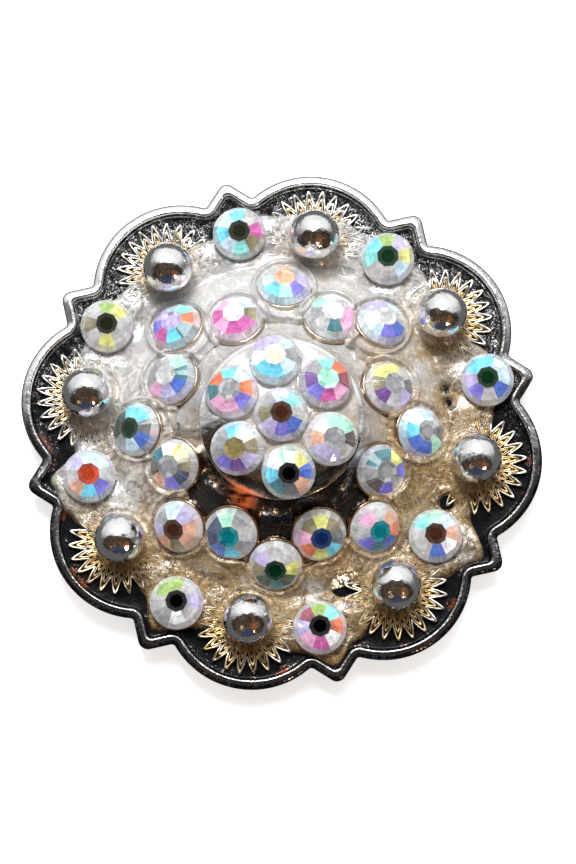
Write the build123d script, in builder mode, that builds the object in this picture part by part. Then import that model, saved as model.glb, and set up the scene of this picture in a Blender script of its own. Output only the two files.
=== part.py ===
from build123d import *
import os
from collections import namedtuple
from math import acos, cos, degrees, radians, sin, sqrt

# Western berry concho with clear cut stones, lying on its back.
# Millimetres and degrees. The origin is on the axis in the back plane, +Z points to the front,
# and the tip of the first point of the outline lies on +X.

# Outline: round lobes with a pointed tip between each two
LOBES = 8
LOBE_REACH = 19.25
LOBE_RADIUS = 6.45
POINT_SHORTFALL = 0.05
POINT_HALF_ANGLE = 45.0
POINT_ROUNDING = 0.45
VALLEY_ROUNDING = 0.3

# Plate: a raised rim round a sunk floor, with a shallow hollow behind it
RIM_HEIGHT = 2.4
RIM_WIDTH = 0.68
RIM_EDGE_ROUNDING = 0.27
RECESS_DEPTH = 0.6
RECESS_TIP_ROUNDING = 0.12
BACK_RIM_WIDTH = 1.3
BACK_HOLLOW_DEPTH = 0.7

# Berries: round balls on short necks, each in the middle of a zigzag sunburst
BERRY_INSET = 4.85
BERRY_RADIUS = 1.85
BERRY_NECK_HEIGHT = 2.5
BURST_TEETH = 22
BURST_RADIUS = 3.88
BURST_TOOTH_LENGTH = 1.15
BURST_RIDGE_DEPTH = 0.5
BURST_RIDGE_STEP = 0.62
BURST_RIDGES = 3
BURST_HEIGHT = 0.4

# Collar: the convex slope that carries two rings of stones round the dome
BERRY_TO_COLLAR = 2.1
COLLAR_WIDTH = 5.0
COLLAR_RISE = 2.35
COLLAR_BULGE = 0.35

# Dome: a flared wall under a low cap with a small overhang, hollow behind
DOME_FOOT_SPREAD = 1.5
DOME_WALL_FLARE = 0.3
DOME_RISE = 3.2
CAP_OVERHANG = 0.15
CAP_EDGE_THICKNESS = 0.35
CAP_RISE = 0.95
CAP_WALL = 1.9
DOME_SIDE_WALL = 0.9
CAVITY_ROUNDING = 0.8

# Flat-back cut stones, all of one size
STONE_DIAMETER = 3.8
STONE_GIRDLE_HEIGHT = 0.45
STONE_CROWN_HEIGHT = 0.92
STONE_TABLE_SHARE = 0.43
STONE_FACETS = 8
STONE_GIRDLE_SIDES = 24
GLUE_LINE = 0.04

# Cups of the collar and seats of the dome and points
CUP_WALL = 0.16
CUP_HEIGHT = 0.4
CUP_ROOT = 1.1
POCKET_CLEARANCE = 0.05
SEAT_RADIUS = 1.6
SEAT_ROOT = 0.8

# Rings of stones: the middle of the flat back, how far it leans outward and where the ring starts
OUTER_STONE_INSET = 4.3
OUTER_SEAT_LIFT = 0.06
MID_OUTER_SHARE = 0.56
MID_OUTER_LEAN = 33.0
MID_OUTER_TURN = 0.9
MID_INNER_SHARE = 0.2
MID_INNER_LEAN = 27.0
MID_INNER_START = 8.0
MID_STONE_GAP = 0.15
COLLAR_SEAT_SINK = 0.06
CENTRE_STONE_GAP = 0.12
CENTRE_RING_LEAN = 14.0
CENTRE_RING_START = 23.4
CAP_SEAT_LIFT = 0.11

# Clear glue: a layer over the collar that runs out round the berries and the stones at the points
GLUE_INNER_WIDTH = 0.1
GLUE_RUN_OUT = 1.7
GLUE_THICKNESS = 0.6
GLUE_EDGE_THICKNESS = 0.35
GLUE_POOL_WIDTH = 0.75
GLUE_POOL_THICKNESS = 0.55
GLUE_CLEARANCE = 0.05
GLUE_OVER_BURST = 0.4

# Threaded post in the back, for an 8-32 screw
POST_RADIUS = 2.6
POST_MOUTH_HEIGHT = 0.2
POST_SOCKET_DEPTH = 0.5
POST_CLEARANCE = 0.05
THREAD_BORE_RADIUS = 1.725
THREAD_DEPTH = 4.5

# How each stone was set by hand: degrees round the axis from its even place, its radius as a share
# of the ring's, and its turn about its own axis
Setting = namedtuple("Setting", "drift reach turn")
OUTER_SETTINGS = [
    Setting(0.8, 1.04, 12),
    Setting(0.6, 1.00, 4),
    Setting(-0.8, 1.00, 22),
    Setting(1.3, 1.00, 30),
    Setting(1.2, 0.97, 9),
    Setting(1.5, 1.00, 17),
    Setting(-2.0, 1.00, 26),
    Setting(-3.0, 0.92, 35),
]
MID_OUTER_SETTINGS = [
    Setting(2.3, 1.03, 20),
    Setting(-0.4, 1.01, 8),
    Setting(1.8, 1.03, 14),
    Setting(1.8, 1.02, 31),
    Setting(0.3, 1.01, 3),
    Setting(-1.6, 0.98, 25),
    Setting(-1.6, 0.97, 11),
    Setting(-1.4, 0.98, 38),
]
MID_INNER_SETTINGS = [
    Setting(-1.0, 0.98, 16),
    Setting(0.0, 1.03, 28),
    Setting(2.2, 1.00, 2),
    Setting(1.0, 1.03, 19),
    Setting(0.0, 0.98, 33),
    Setting(-0.6, 1.03, 7),
    Setting(-1.8, 1.00, 24),
    Setting(-0.6, 0.94, 13),
]
CENTRE_RING_SETTINGS = [
    Setting(1.2, 0.99, 10),
    Setting(0.3, 1.02, 27),
    Setting(-1.5, 0.98, 5),
    Setting(1.0, 0.99, 21),
    Setting(0.8, 1.04, 36),
    Setting(-1.6, 0.99, 15),
]
CENTRE_STONE_SETTING = Setting(0.0, 0.0, 18)

LOBE_STEP = 360 / LOBES
LOBE_CENTRE = LOBE_REACH - LOBE_RADIUS
POINT_REACH = LOBE_REACH - POINT_SHORTFALL
FLOOR_HEIGHT = RIM_HEIGHT - RECESS_DEPTH
BURST_TOP = FLOOR_HEIGHT + BURST_HEIGHT
BERRY_RING_RADIUS = LOBE_REACH - BERRY_INSET
BERRY_CENTRE_HEIGHT = FLOOR_HEIGHT + BERRY_NECK_HEIGHT
COLLAR_RADIUS = BERRY_RING_RADIUS - BERRY_TO_COLLAR
DOME_FOOT_RADIUS = COLLAR_RADIUS - COLLAR_WIDTH
DOME_FOOT_HEIGHT = FLOOR_HEIGHT + COLLAR_RISE
DOME_WALL_RADIUS = DOME_FOOT_RADIUS - DOME_FOOT_SPREAD
CAP_RADIUS = DOME_WALL_RADIUS + CAP_OVERHANG
CAP_EDGE_HEIGHT = DOME_FOOT_HEIGHT + DOME_RISE
CAP_TOP_HEIGHT = CAP_EDGE_HEIGHT + CAP_RISE
CAVITY_RADIUS = DOME_WALL_RADIUS - DOME_SIDE_WALL
CAVITY_CEILING_HEIGHT = CAP_TOP_HEIGHT - CAP_WALL
STONE_RADIUS = STONE_DIAMETER / 2
STONE_HEIGHT = STONE_GIRDLE_HEIGHT + STONE_CROWN_HEIGHT
POCKET_RADIUS = STONE_RADIUS + POCKET_CLEARANCE
CUP_RADIUS = POCKET_RADIUS + CUP_WALL
OUTER_RING_RADIUS = POINT_REACH - OUTER_STONE_INSET
OUTER_SEAT_HEIGHT = RIM_HEIGHT + OUTER_SEAT_LIFT
MID_OUTER_RING_RADIUS = DOME_FOOT_RADIUS + MID_OUTER_SHARE * COLLAR_WIDTH
MID_INNER_RING_RADIUS = DOME_FOOT_RADIUS + MID_INNER_SHARE * COLLAR_WIDTH
CENTRE_RING_RADIUS = STONE_DIAMETER + CENTRE_STONE_GAP
GLUE_OUTER_RADIUS = COLLAR_RADIUS + GLUE_RUN_OUT
BURST_INNER_RADIUS = GLUE_OUTER_RADIUS - GLUE_OVER_BURST
POST_TOP = CAVITY_CEILING_HEIGHT + POST_SOCKET_DEPTH


def polar(radius, angle):
    """A point at a radius and an angle about the axis."""
    return radius * cos(radians(angle)), radius * sin(radians(angle))


def valley(inset):
    """Where a point's flank meets the lobe beside it, with both moved inward by inset.

    The flank runs back from its tip on +X at the point's half angle, and the first place where it
    lies on the lobe's circle is the smaller root of the quadratic in the distance along it."""
    tip = POINT_REACH - inset / sin(radians(POINT_HALF_ANGLE))
    back, side = -cos(radians(POINT_HALF_ANGLE)), sin(radians(POINT_HALF_ANGLE))
    lobe_x, lobe_y = polar(LOBE_CENTRE, LOBE_STEP / 2)
    along = (tip - lobe_x) * back - lobe_y * side
    rest = (tip - lobe_x) ** 2 + lobe_y ** 2 - (LOBE_RADIUS - inset) ** 2
    run = -along - sqrt(along ** 2 - rest)
    return tip, (tip + run * back, run * side)


def turned(point, angle):
    """A point turned round the axis."""
    x, y = point
    turn = radians(angle)
    return x * cos(turn) - y * sin(turn), x * sin(turn) + y * cos(turn)


def outline_face(inset, tip_rounding):
    """The face of the lobed and pointed outline, moved inward by inset, with its corners rounded."""
    tip, flank_end = valley(inset)
    mirrored_end = (flank_end[0], -flank_end[1])
    with BuildSketch() as outline:
        with BuildLine():
            for index in range(LOBES):
                angle = index * LOBE_STEP
                lobe_start = turned(flank_end, angle)
                lobe_end = turned(mirrored_end, angle + LOBE_STEP)
                Line(polar(tip, angle), lobe_start)
                ThreePointArc(lobe_start, polar(LOBE_REACH - inset, angle + LOBE_STEP / 2), lobe_end)
                Line(lobe_end, polar(tip, angle + LOBE_STEP))
        make_face()
        tips = outline.vertices().sort_by(lambda corner: Vector(*corner).length)[-LOBES:]
        fillet(tips, radius=tip_rounding)
        valleys = outline.vertices().sort_by(lambda corner: Vector(*corner).length)[: 2 * LOBES]
        fillet(valleys, radius=VALLEY_ROUNDING + inset)
    return outline.sketch


def zigzag(tip_radius):
    """The corners of a star whose teeth reach tip_radius, one tooth pointing along +X."""
    half_step = 180 / BURST_TEETH
    corners = []
    for tooth in range(BURST_TEETH):
        corners.append(polar(tip_radius, 2 * tooth * half_step))
        corners.append(polar(tip_radius - BURST_TOOTH_LENGTH, (2 * tooth + 1) * half_step))
    return corners


def sunburst_face():
    """The nested zigzag ridges round one berry, as one face."""
    with BuildSketch() as burst:
        for ridge in range(BURST_RIDGES):
            reach = BURST_RADIUS - ridge * BURST_RIDGE_STEP
            Polygon(*zigzag(reach), align=None)
            Polygon(*zigzag(reach - BURST_RIDGE_DEPTH), align=None, mode=Mode.SUBTRACT)
    return burst.sketch


def stone_plane(angle, radius, height, lean):
    """The plane of a stone's flat back, its z axis leaning outward from the axis by lean."""
    turn = radians(angle)
    tilt = radians(lean)
    downhill = (cos(turn) * cos(tilt), sin(turn) * cos(tilt), -sin(tilt))
    up = (cos(turn) * sin(tilt), sin(turn) * sin(tilt), cos(tilt))
    return Plane(origin=(*polar(radius, angle), height), x_dir=downhill, z_dir=up)


def stones_that_fit(inner_radius, outer_radius, gap):
    """How many stones fit in each of two staggered rings, with a gap between each and its neighbours.

    A stone's neighbour lies in the other ring, half a step round, so their distance follows from the
    two radii and that angle by the law of cosines."""
    least = STONE_DIAMETER + gap
    cosine = (inner_radius ** 2 + outer_radius ** 2 - least ** 2) / (2 * inner_radius * outer_radius)
    return int(180 / degrees(acos(cosine)))


def ring_planes(settings, count, start, radius, height, lean):
    """The planes of one ring of stones, each with the small error of its hand setting."""
    planes = []
    for index in range(count):
        setting = settings[index % len(settings)]
        angle = start + index * 360 / count + setting.drift
        planes.append(stone_plane(angle, radius * setting.reach, height, lean))
    return planes


def collar_circle():
    """Centre and radius of the arc of the collar's slope, from its two ends and its bulge."""
    foot = Vector(COLLAR_RADIUS, FLOOR_HEIGHT)
    top = Vector(DOME_FOOT_RADIUS, DOME_FOOT_HEIGHT)
    chord = top - foot
    outward = Vector(chord.Y, -chord.X).normalized()
    radius = (chord.length ** 2 / 4 + COLLAR_BULGE ** 2) / (2 * COLLAR_BULGE)
    return (foot + top) / 2 - outward * (radius - COLLAR_BULGE), radius


def lifted_collar(lift):
    """Start, middle and end of the arc of the collar's slope, raised square to it by lift."""
    centre, radius = collar_circle()
    foot = Vector(COLLAR_RADIUS, FLOOR_HEIGHT)
    top = Vector(DOME_FOOT_RADIUS, DOME_FOOT_HEIGHT)
    middle = centre + ((foot + top) / 2 - centre).normalized() * radius
    return [centre + (point - centre) * ((radius + lift) / radius) for point in (foot, middle, top)]


def collar_height(distance):
    """Height of the collar's slope at a distance from the axis."""
    centre, radius = collar_circle()
    return centre.Y + sqrt(radius ** 2 - (distance - centre.X) ** 2)


def cap_height(distance):
    """Height of the cap, a shallow sphere, at a distance from the axis."""
    radius = (CAP_RADIUS ** 2 + CAP_RISE ** 2) / (2 * CAP_RISE)
    return CAP_TOP_HEIGHT - radius + sqrt(radius ** 2 - distance ** 2)


mid_stones = stones_that_fit(MID_INNER_RING_RADIUS, MID_OUTER_RING_RADIUS, MID_STONE_GAP)
outer_planes = ring_planes(OUTER_SETTINGS, LOBES, 0, OUTER_RING_RADIUS, OUTER_SEAT_HEIGHT, 0)
mid_outer_planes = ring_planes(
    MID_OUTER_SETTINGS,
    mid_stones,
    MID_INNER_START + 180 / mid_stones + MID_OUTER_TURN,
    MID_OUTER_RING_RADIUS,
    collar_height(MID_OUTER_RING_RADIUS) - COLLAR_SEAT_SINK,
    MID_OUTER_LEAN,
)
mid_inner_planes = ring_planes(
    MID_INNER_SETTINGS,
    mid_stones,
    MID_INNER_START,
    MID_INNER_RING_RADIUS,
    collar_height(MID_INNER_RING_RADIUS) - COLLAR_SEAT_SINK,
    MID_INNER_LEAN,
)
centre_planes = ring_planes(
    CENTRE_RING_SETTINGS,
    len(CENTRE_RING_SETTINGS),
    CENTRE_RING_START,
    CENTRE_RING_RADIUS,
    cap_height(CENTRE_RING_RADIUS) + CAP_SEAT_LIFT,
    CENTRE_RING_LEAN,
)
centre_planes.append(stone_plane(0, 0, CAP_TOP_HEIGHT + CAP_SEAT_LIFT, 0))
cup_planes = mid_outer_planes + mid_inner_planes
seat_planes = outer_planes + centre_planes

rim_face = outline_face(0, POINT_ROUNDING)
recess_face = outline_face(RIM_WIDTH, RECESS_TIP_ROUNDING)
back_face = outline_face(BACK_RIM_WIDTH, RECESS_TIP_ROUNDING)
burst_face = sunburst_face()

wall_top = CAP_EDGE_HEIGHT - CAP_EDGE_THICKNESS
wall_middle = (
    (DOME_WALL_RADIUS + DOME_FOOT_RADIUS) / 2 - DOME_WALL_FLARE,
    (wall_top + DOME_FOOT_HEIGHT) / 2 - DOME_WALL_FLARE,
)
collar_arc = lifted_collar(0)

with BuildPart() as cast_plate:
    # Plate, sunk floor and rounded rim
    with BuildSketch():
        add(rim_face)
    extrude(amount=RIM_HEIGHT)
    with BuildSketch(Plane.XY.offset(RIM_HEIGHT)):
        add(recess_face)
    extrude(amount=-RECESS_DEPTH, mode=Mode.SUBTRACT)
    fillet(cast_plate.edges().group_by(Axis.Z)[-1], radius=RIM_EDGE_ROUNDING)
    # Shallow hollow behind the floor
    with BuildSketch():
        add(back_face)
    extrude(amount=BACK_HOLLOW_DEPTH, mode=Mode.SUBTRACT)
    # Collar, dome wall and cap turned as one profile
    with BuildSketch(Plane.XZ):
        with BuildLine():
            Polyline((0, CAP_TOP_HEIGHT), (0, FLOOR_HEIGHT), (COLLAR_RADIUS, FLOOR_HEIGHT))
            ThreePointArc(*collar_arc)
            ThreePointArc((DOME_FOOT_RADIUS, DOME_FOOT_HEIGHT), wall_middle, (DOME_WALL_RADIUS, wall_top))
            Polyline((DOME_WALL_RADIUS, wall_top), (CAP_RADIUS, wall_top), (CAP_RADIUS, CAP_EDGE_HEIGHT))
            TangentArc((0, CAP_TOP_HEIGHT), (CAP_RADIUS, CAP_EDGE_HEIGHT), tangent=(1, 0))
        make_face()
    revolve(axis=Axis.Z)
    # Cups of the collar, and the low seats of the other stones
    with Locations(*[plane.offset(-CUP_ROOT) for plane in cup_planes]):
        Cylinder(CUP_RADIUS, CUP_ROOT + CUP_HEIGHT, align=(Align.CENTER, Align.CENTER, Align.MIN))
    with Locations(*[plane.offset(-SEAT_ROOT) for plane in seat_planes]):
        Cylinder(SEAT_RADIUS, SEAT_ROOT, align=(Align.CENTER, Align.CENTER, Align.MIN))
    # Room for the stones
    with Locations(*cup_planes):
        Cylinder(
            POCKET_RADIUS, STONE_HEIGHT, align=(Align.CENTER, Align.CENTER, Align.MIN), mode=Mode.SUBTRACT
        )
    # Berries on their necks
    with BuildSketch(Plane.XY.offset(FLOOR_HEIGHT)):
        with PolarLocations(BERRY_RING_RADIUS, LOBES, start_angle=LOBE_STEP / 2):
            Circle(BERRY_RADIUS)
    extrude(amount=BERRY_CENTRE_HEIGHT - FLOOR_HEIGHT)
    with Locations((0, 0, BERRY_CENTRE_HEIGHT)):
        with PolarLocations(BERRY_RING_RADIUS, LOBES, start_angle=LOBE_STEP / 2):
            Sphere(BERRY_RADIUS)
    # Cavity under the dome, and the socket of the post in its ceiling
    with BuildSketch():
        Circle(CAVITY_RADIUS)
    extrude(amount=CAVITY_CEILING_HEIGHT, mode=Mode.SUBTRACT)
    ceiling = cast_plate.edges().filter_by(GeomType.CIRCLE)
    ceiling = ceiling.filter_by(lambda edge: abs(edge.radius - CAVITY_RADIUS) < 0.001)
    fillet(ceiling.sort_by(Axis.Z)[-1], radius=CAVITY_ROUNDING)
    with BuildSketch(Plane.XY.offset(CAVITY_CEILING_HEIGHT)):
        Circle(POST_RADIUS + POST_CLEARANCE)
    extrude(amount=POST_SOCKET_DEPTH, mode=Mode.SUBTRACT)
    # Zigzag sunbursts, one tooth of each pointing away from the axis, that run out under the glue
    with BuildSketch(Plane.XY.offset(FLOOR_HEIGHT)):
        with PolarLocations(BERRY_RING_RADIUS, LOBES, start_angle=LOBE_STEP / 2):
            add(burst_face)
        Circle(BURST_INNER_RADIUS, mode=Mode.SUBTRACT)
    extrude(amount=BURST_HEIGHT, clean=False)

glue_bottom = BURST_TOP + GLUE_CLEARANCE
glue_foot, glue_middle, glue_end = lifted_collar(GLUE_CLEARANCE + GLUE_THICKNESS)
glue_inner_radius = DOME_FOOT_RADIUS + GLUE_INNER_WIDTH
clear_of_collar = lifted_collar(GLUE_CLEARANCE)

with BuildPart() as poured_glue:
    # A sloping layer on the collar, down to the tops of the zigzag ridges
    with BuildSketch(Plane.XZ):
        with BuildLine():
            top = (glue_inner_radius, glue_end.Y)
            edge = (GLUE_OUTER_RADIUS, glue_bottom + GLUE_EDGE_THICKNESS)
            ThreePointArc(top, glue_middle, edge)
            Polyline(edge, (GLUE_OUTER_RADIUS, glue_bottom), (glue_inner_radius, glue_bottom), top)
        make_face()
    revolve(axis=Axis.Z)
    # Pools round the stones at the points
    with Locations(*[Plane(origin=(plane.origin.X, plane.origin.Y, glue_bottom)) for plane in outer_planes]):
        Cylinder(
            STONE_RADIUS + GLUE_POOL_WIDTH,
            GLUE_POOL_THICKNESS,
            align=(Align.CENTER, Align.CENTER, Align.MIN),
        )
    # Clear of the rim, the collar, the cups, the stones and the berries
    with BuildSketch():
        add(outline_face(RIM_WIDTH + GLUE_CLEARANCE, RECESS_TIP_ROUNDING))
    extrude(amount=CAP_TOP_HEIGHT, mode=Mode.INTERSECT)
    with BuildSketch(Plane.XZ):
        with BuildLine():
            foot, middle, top = clear_of_collar
            ThreePointArc(foot, middle, top)
            Polyline(top, (0, top.Y), (0, foot.Y), foot)
        make_face()
    revolve(axis=Axis.Z, mode=Mode.SUBTRACT)
    with Locations(*[plane.offset(-CUP_ROOT) for plane in cup_planes]):
        Cylinder(
            CUP_RADIUS + GLUE_CLEARANCE,
            CUP_ROOT + STONE_HEIGHT,
            align=(Align.CENTER, Align.CENTER, Align.MIN),
            mode=Mode.SUBTRACT,
        )
    with Locations(*[plane.offset(-SEAT_ROOT) for plane in outer_planes]):
        Cylinder(
            POCKET_RADIUS,
            SEAT_ROOT + STONE_HEIGHT,
            align=(Align.CENTER, Align.CENTER, Align.MIN),
            mode=Mode.SUBTRACT,
        )
    with BuildSketch():
        with PolarLocations(BERRY_RING_RADIUS, LOBES, start_angle=LOBE_STEP / 2):
            Circle(BERRY_RADIUS + GLUE_CLEARANCE)
    extrude(amount=CAP_TOP_HEIGHT, mode=Mode.SUBTRACT)

with BuildPart() as clear_glue:
    add(poured_glue.solids().sort_by(SortBy.VOLUME)[-1])

with BuildPart() as screw_post:
    with BuildSketch(Plane.XY.offset(POST_MOUTH_HEIGHT)):
        Circle(POST_RADIUS)
    extrude(amount=POST_TOP - GLUE_LINE - POST_MOUTH_HEIGHT)
    with BuildSketch(Plane.XY.offset(POST_MOUTH_HEIGHT)):
        Circle(THREAD_BORE_RADIUS)
    extrude(amount=THREAD_DEPTH, mode=Mode.SUBTRACT)


def make_stone(plane, turn):
    """A flat-back stone: a round girdle, a crown of flat facets and a table."""
    back = plane.offset(GLUE_LINE)
    apothem = STONE_RADIUS * STONE_TABLE_SHARE
    with BuildPart() as stone:
        with BuildSketch(back):
            RegularPolygon(STONE_RADIUS, STONE_FACETS, major_radius=False, rotation=turn)
        extrude(amount=STONE_GIRDLE_HEIGHT)
        with BuildSketch(back.offset(STONE_GIRDLE_HEIGHT)):
            RegularPolygon(STONE_RADIUS, STONE_FACETS, major_radius=False, rotation=turn)
        with BuildSketch(back.offset(STONE_HEIGHT)):
            RegularPolygon(apothem, STONE_FACETS, major_radius=False, rotation=turn)
        loft(ruled=True)
        with BuildSketch(back):
            RegularPolygon(STONE_RADIUS, STONE_GIRDLE_SIDES, rotation=turn)
        extrude(amount=STONE_HEIGHT, mode=Mode.INTERSECT)
    return stone


os.makedirs("parts", exist_ok=True)


def save(builder, name):
    """Writes one finished piece."""
    builder.part.label = name
    export_step(builder.part, f"parts/{name}.step")


save(cast_plate, "cast_plate")
save(clear_glue, "clear_glue")
save(screw_post, "screw_post")
stone_rings = [
    ("outer_crystal", outer_planes, OUTER_SETTINGS),
    ("mid_outer_crystal", mid_outer_planes, MID_OUTER_SETTINGS),
    ("mid_inner_crystal", mid_inner_planes, MID_INNER_SETTINGS),
    ("centre_crystal", centre_planes, CENTRE_RING_SETTINGS + [CENTRE_STONE_SETTING]),
]
for name, planes, settings in stone_rings:
    for index, plane in enumerate(planes):
        save(make_stone(plane, settings[index % len(settings)].turn), f"{name}_{index + 1}")
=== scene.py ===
"""Western berry concho with clear cut stones: its metal, stones and glue, dressed for pictures.

Everything is in metres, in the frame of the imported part: the axis is Z, the back lies at zero and
the tip of the first point of the outline is on +X. Sizes written in millimetres are times MM."""

import math

import bmesh
import bpy
import numpy as np
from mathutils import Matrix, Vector


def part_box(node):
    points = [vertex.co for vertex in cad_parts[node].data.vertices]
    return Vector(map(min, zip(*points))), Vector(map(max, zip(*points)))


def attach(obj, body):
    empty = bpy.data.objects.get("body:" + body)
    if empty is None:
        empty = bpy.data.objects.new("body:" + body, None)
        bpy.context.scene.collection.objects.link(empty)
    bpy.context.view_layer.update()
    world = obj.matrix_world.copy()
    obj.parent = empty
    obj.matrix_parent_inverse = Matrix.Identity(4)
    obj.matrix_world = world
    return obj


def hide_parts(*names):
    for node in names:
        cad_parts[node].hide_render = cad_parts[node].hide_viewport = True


bl_info = {
    "name": "Crystal Concho",
    "version": (1, 0, 0),
    "blender": (4, 5, 0),
    "location": "3D View > Sidebar > Concho",
    "description": "Builds the cast metal, the cut stones and the clear glue of a berry concho",
    "category": "Object",
}

MM = 0.001

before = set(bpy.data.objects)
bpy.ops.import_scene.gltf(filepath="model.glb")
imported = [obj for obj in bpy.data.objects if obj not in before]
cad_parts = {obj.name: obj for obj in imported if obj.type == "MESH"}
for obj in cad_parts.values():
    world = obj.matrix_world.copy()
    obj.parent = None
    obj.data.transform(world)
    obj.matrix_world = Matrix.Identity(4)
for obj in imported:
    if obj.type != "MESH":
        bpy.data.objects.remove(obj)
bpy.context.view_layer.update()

# The photograph's camera: nearly straight from the front
PHOTO_SIZE = (576, 864)
PHOTO_AIM = (281.4, 430.9)
PHOTO_PIXELS_PER_MM = 13.66
CAMERA_DISTANCE = 350 * MM
CAMERA_AZIMUTH = -12.8
CAMERA_ELEVATION = 80.0
CAMERA_AIM_HEIGHT = 2.0 * MM
SENSOR_WIDTH = 36.0
# Degrees round the axis of the side of the concho that is uppermost in the photograph
UPPERMOST = 77.2

# Half the width of the floor, and the colour of the room between the patches of its sky
FLOOR_HALF = 0.7
ROOM_COLOUR = (0.17, 0.17, 0.18)
# The sky, each patch over the ones before it: degrees round the axis from the uppermost side,
# degrees above the floor, where the patch ends and where it is whole, in degrees from its middle,
# the pitch of its grain if it has any, and its colour
SKY_PATCHES = [
    (0, 26, 84, 56, 0, (0.80, 0.81, 0.84)),
    (0, 50, 58, 36, 0, (1.05, 1.05, 1.05)),
    (180, 34, 80, 66, 0, (0.030, 0.024, 0.020)),
    (180, 40, 68, 56, 0.16, (0.09, 0.035, 0.014)),
    (180, 46, 60, 46, 0.09, (0.42, 0.27, 0.16)),
    (180, 8, 34, 14, 0, (0.03, 0.05, 0.12)),
    (180, -12, 30, 14, 0, (0.07, 0.07, 0.08)),
    (218, 38, 13, 5, 0, (0.34, 0.10, 0.03)),
    (150, 33, 6, 3, 0, (1.0, 0.80, 0.50)),
]
# Each lamp: its name, degrees round the axis from the uppermost side, degrees above the floor,
# distance and size in metres, power in watts, and colour
LAMPS = [
    ("key", 0, 58, 0.7, 0.40, 3.0, (1, 1, 1)),
    ("sparkle", 14, 55, 0.7, 0.12, 2.4, (1, 1, 1)),
    ("warm", -150, 24, 0.6, 0.05, 0.35, (1, 0.72, 0.42)),
]

# How finely the pieces are divided round the axis, round a stone, along a tooth or across a sheet
DOME_COLUMNS = 288
BERRY_COLUMNS = 96
CUP_COLUMNS = 64
TOOTH_COLUMNS = 14
FLOOR_ROWS, BACK_ROWS = 12, 4
POURED_COLUMNS, POURED_ROWS, POURED_ROWS_BELOW = 900, 84, 9
FILM_COLUMNS, FILM_ROWS, FILM_ROWS_BELOW = 640, 96, 32
# Edges that turn further than this stay sharp
SHARP_EDGE = math.radians(50)
# How far pieces run on into the metal below the floor, and the gap between a stone and its cup
BURIED = 0.3 * MM
CUP_CLEARANCE = 0.05 * MM
# Half the width, in degrees, of the thin strips that part a stone's main facets
HALF_STRIP = 0.9
# How black the rim's roll is, by blackening and painted shade: numbers of its rows from the outside
# in, and the value at each, on the uppermost side and on the other one
ROLL_LIT = ([0, 1.5, 3, 15, 18], [1.2, 0.8, 0, 0, 0.3])
ROLL_DARK = ([0, 7, 12, 15, 18], [1.3, 1.02, 0.77, 0.84, 1.2])
# Rows at the end of the roll and its slope that have a painted red reflection in places
REDDISH_ROWS = 6
# The middle and half the width of the painted red reflection that glows on the dome, in degrees
# round the axis
RED_GLOW = (230, 14)
# Height of the blackened gaps between a zigzag's crests, in millimetres
CREST_GAP = 0.10
# The glue, in millimetres: the poured sheet's thickness and the width of its round edge, how high it
# climbs the berries and rolls up at the cups, the film's thickness and how it rolls up at the seats,
# and how far a sheet dives into the metal where there is no glue
POURED_THICKNESS, POURED_EDGE = 0.62, 0.5
BERRY_CLIMB, CUP_ROLL = 0.55, 0.24
FILM_THICKNESS, SEAT_ROLL = 0.10, 0.30
GLUE_DIVE = 0.12

# Colours of the facets: tints of the foil and its coating with painted reflections of the room,
# as a jeweller would name them
PALETTE = {
    "white": (0.93, 0.94, 0.95),
    "ice": (0.74, 0.85, 0.91),
    "cyan": (0.36, 0.80, 0.92),
    "aqua": (0.48, 0.85, 0.82),
    "mint": (0.60, 0.86, 0.74),
    "teal": (0.05, 0.42, 0.46),
    "deep": (0.02, 0.16, 0.32),
    "blue": (0.08, 0.33, 0.74),
    "violet": (0.40, 0.37, 0.80),
    "lilac": (0.70, 0.66, 0.84),
    "purple": (0.36, 0.08, 0.52),
    "magenta": (0.76, 0.24, 0.60),
    "pink": (0.87, 0.62, 0.77),
    "crimson": (0.52, 0.06, 0.22),
    "red": (0.62, 0.24, 0.16),
    "orange": (0.83, 0.40, 0.16),
    "peach": (0.85, 0.63, 0.52),
    "yellow": (0.82, 0.82, 0.42),
    "lime": (0.55, 0.69, 0.29),
    "khaki": (0.48, 0.44, 0.29),
    "olive": (0.12, 0.13, 0.08),
    "green": (0.04, 0.17, 0.09),
    "brown": (0.24, 0.15, 0.11),
    "black": (0.015, 0.015, 0.015),
    "grey": (0.54, 0.55, 0.56),
    "pearl": (0.70, 0.70, 0.70),
    "smoke": (0.34, 0.35, 0.36),
}
# The zigzags' crests: their middle's distance from the tip, half their width, and their height
CRESTS = [
    (0.16, 0.150, 0.38),
    (0.74, 0.125, 0.34),
    (1.30, 0.115, 0.30),
    (1.84, 0.110, 0.30),
]
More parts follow.
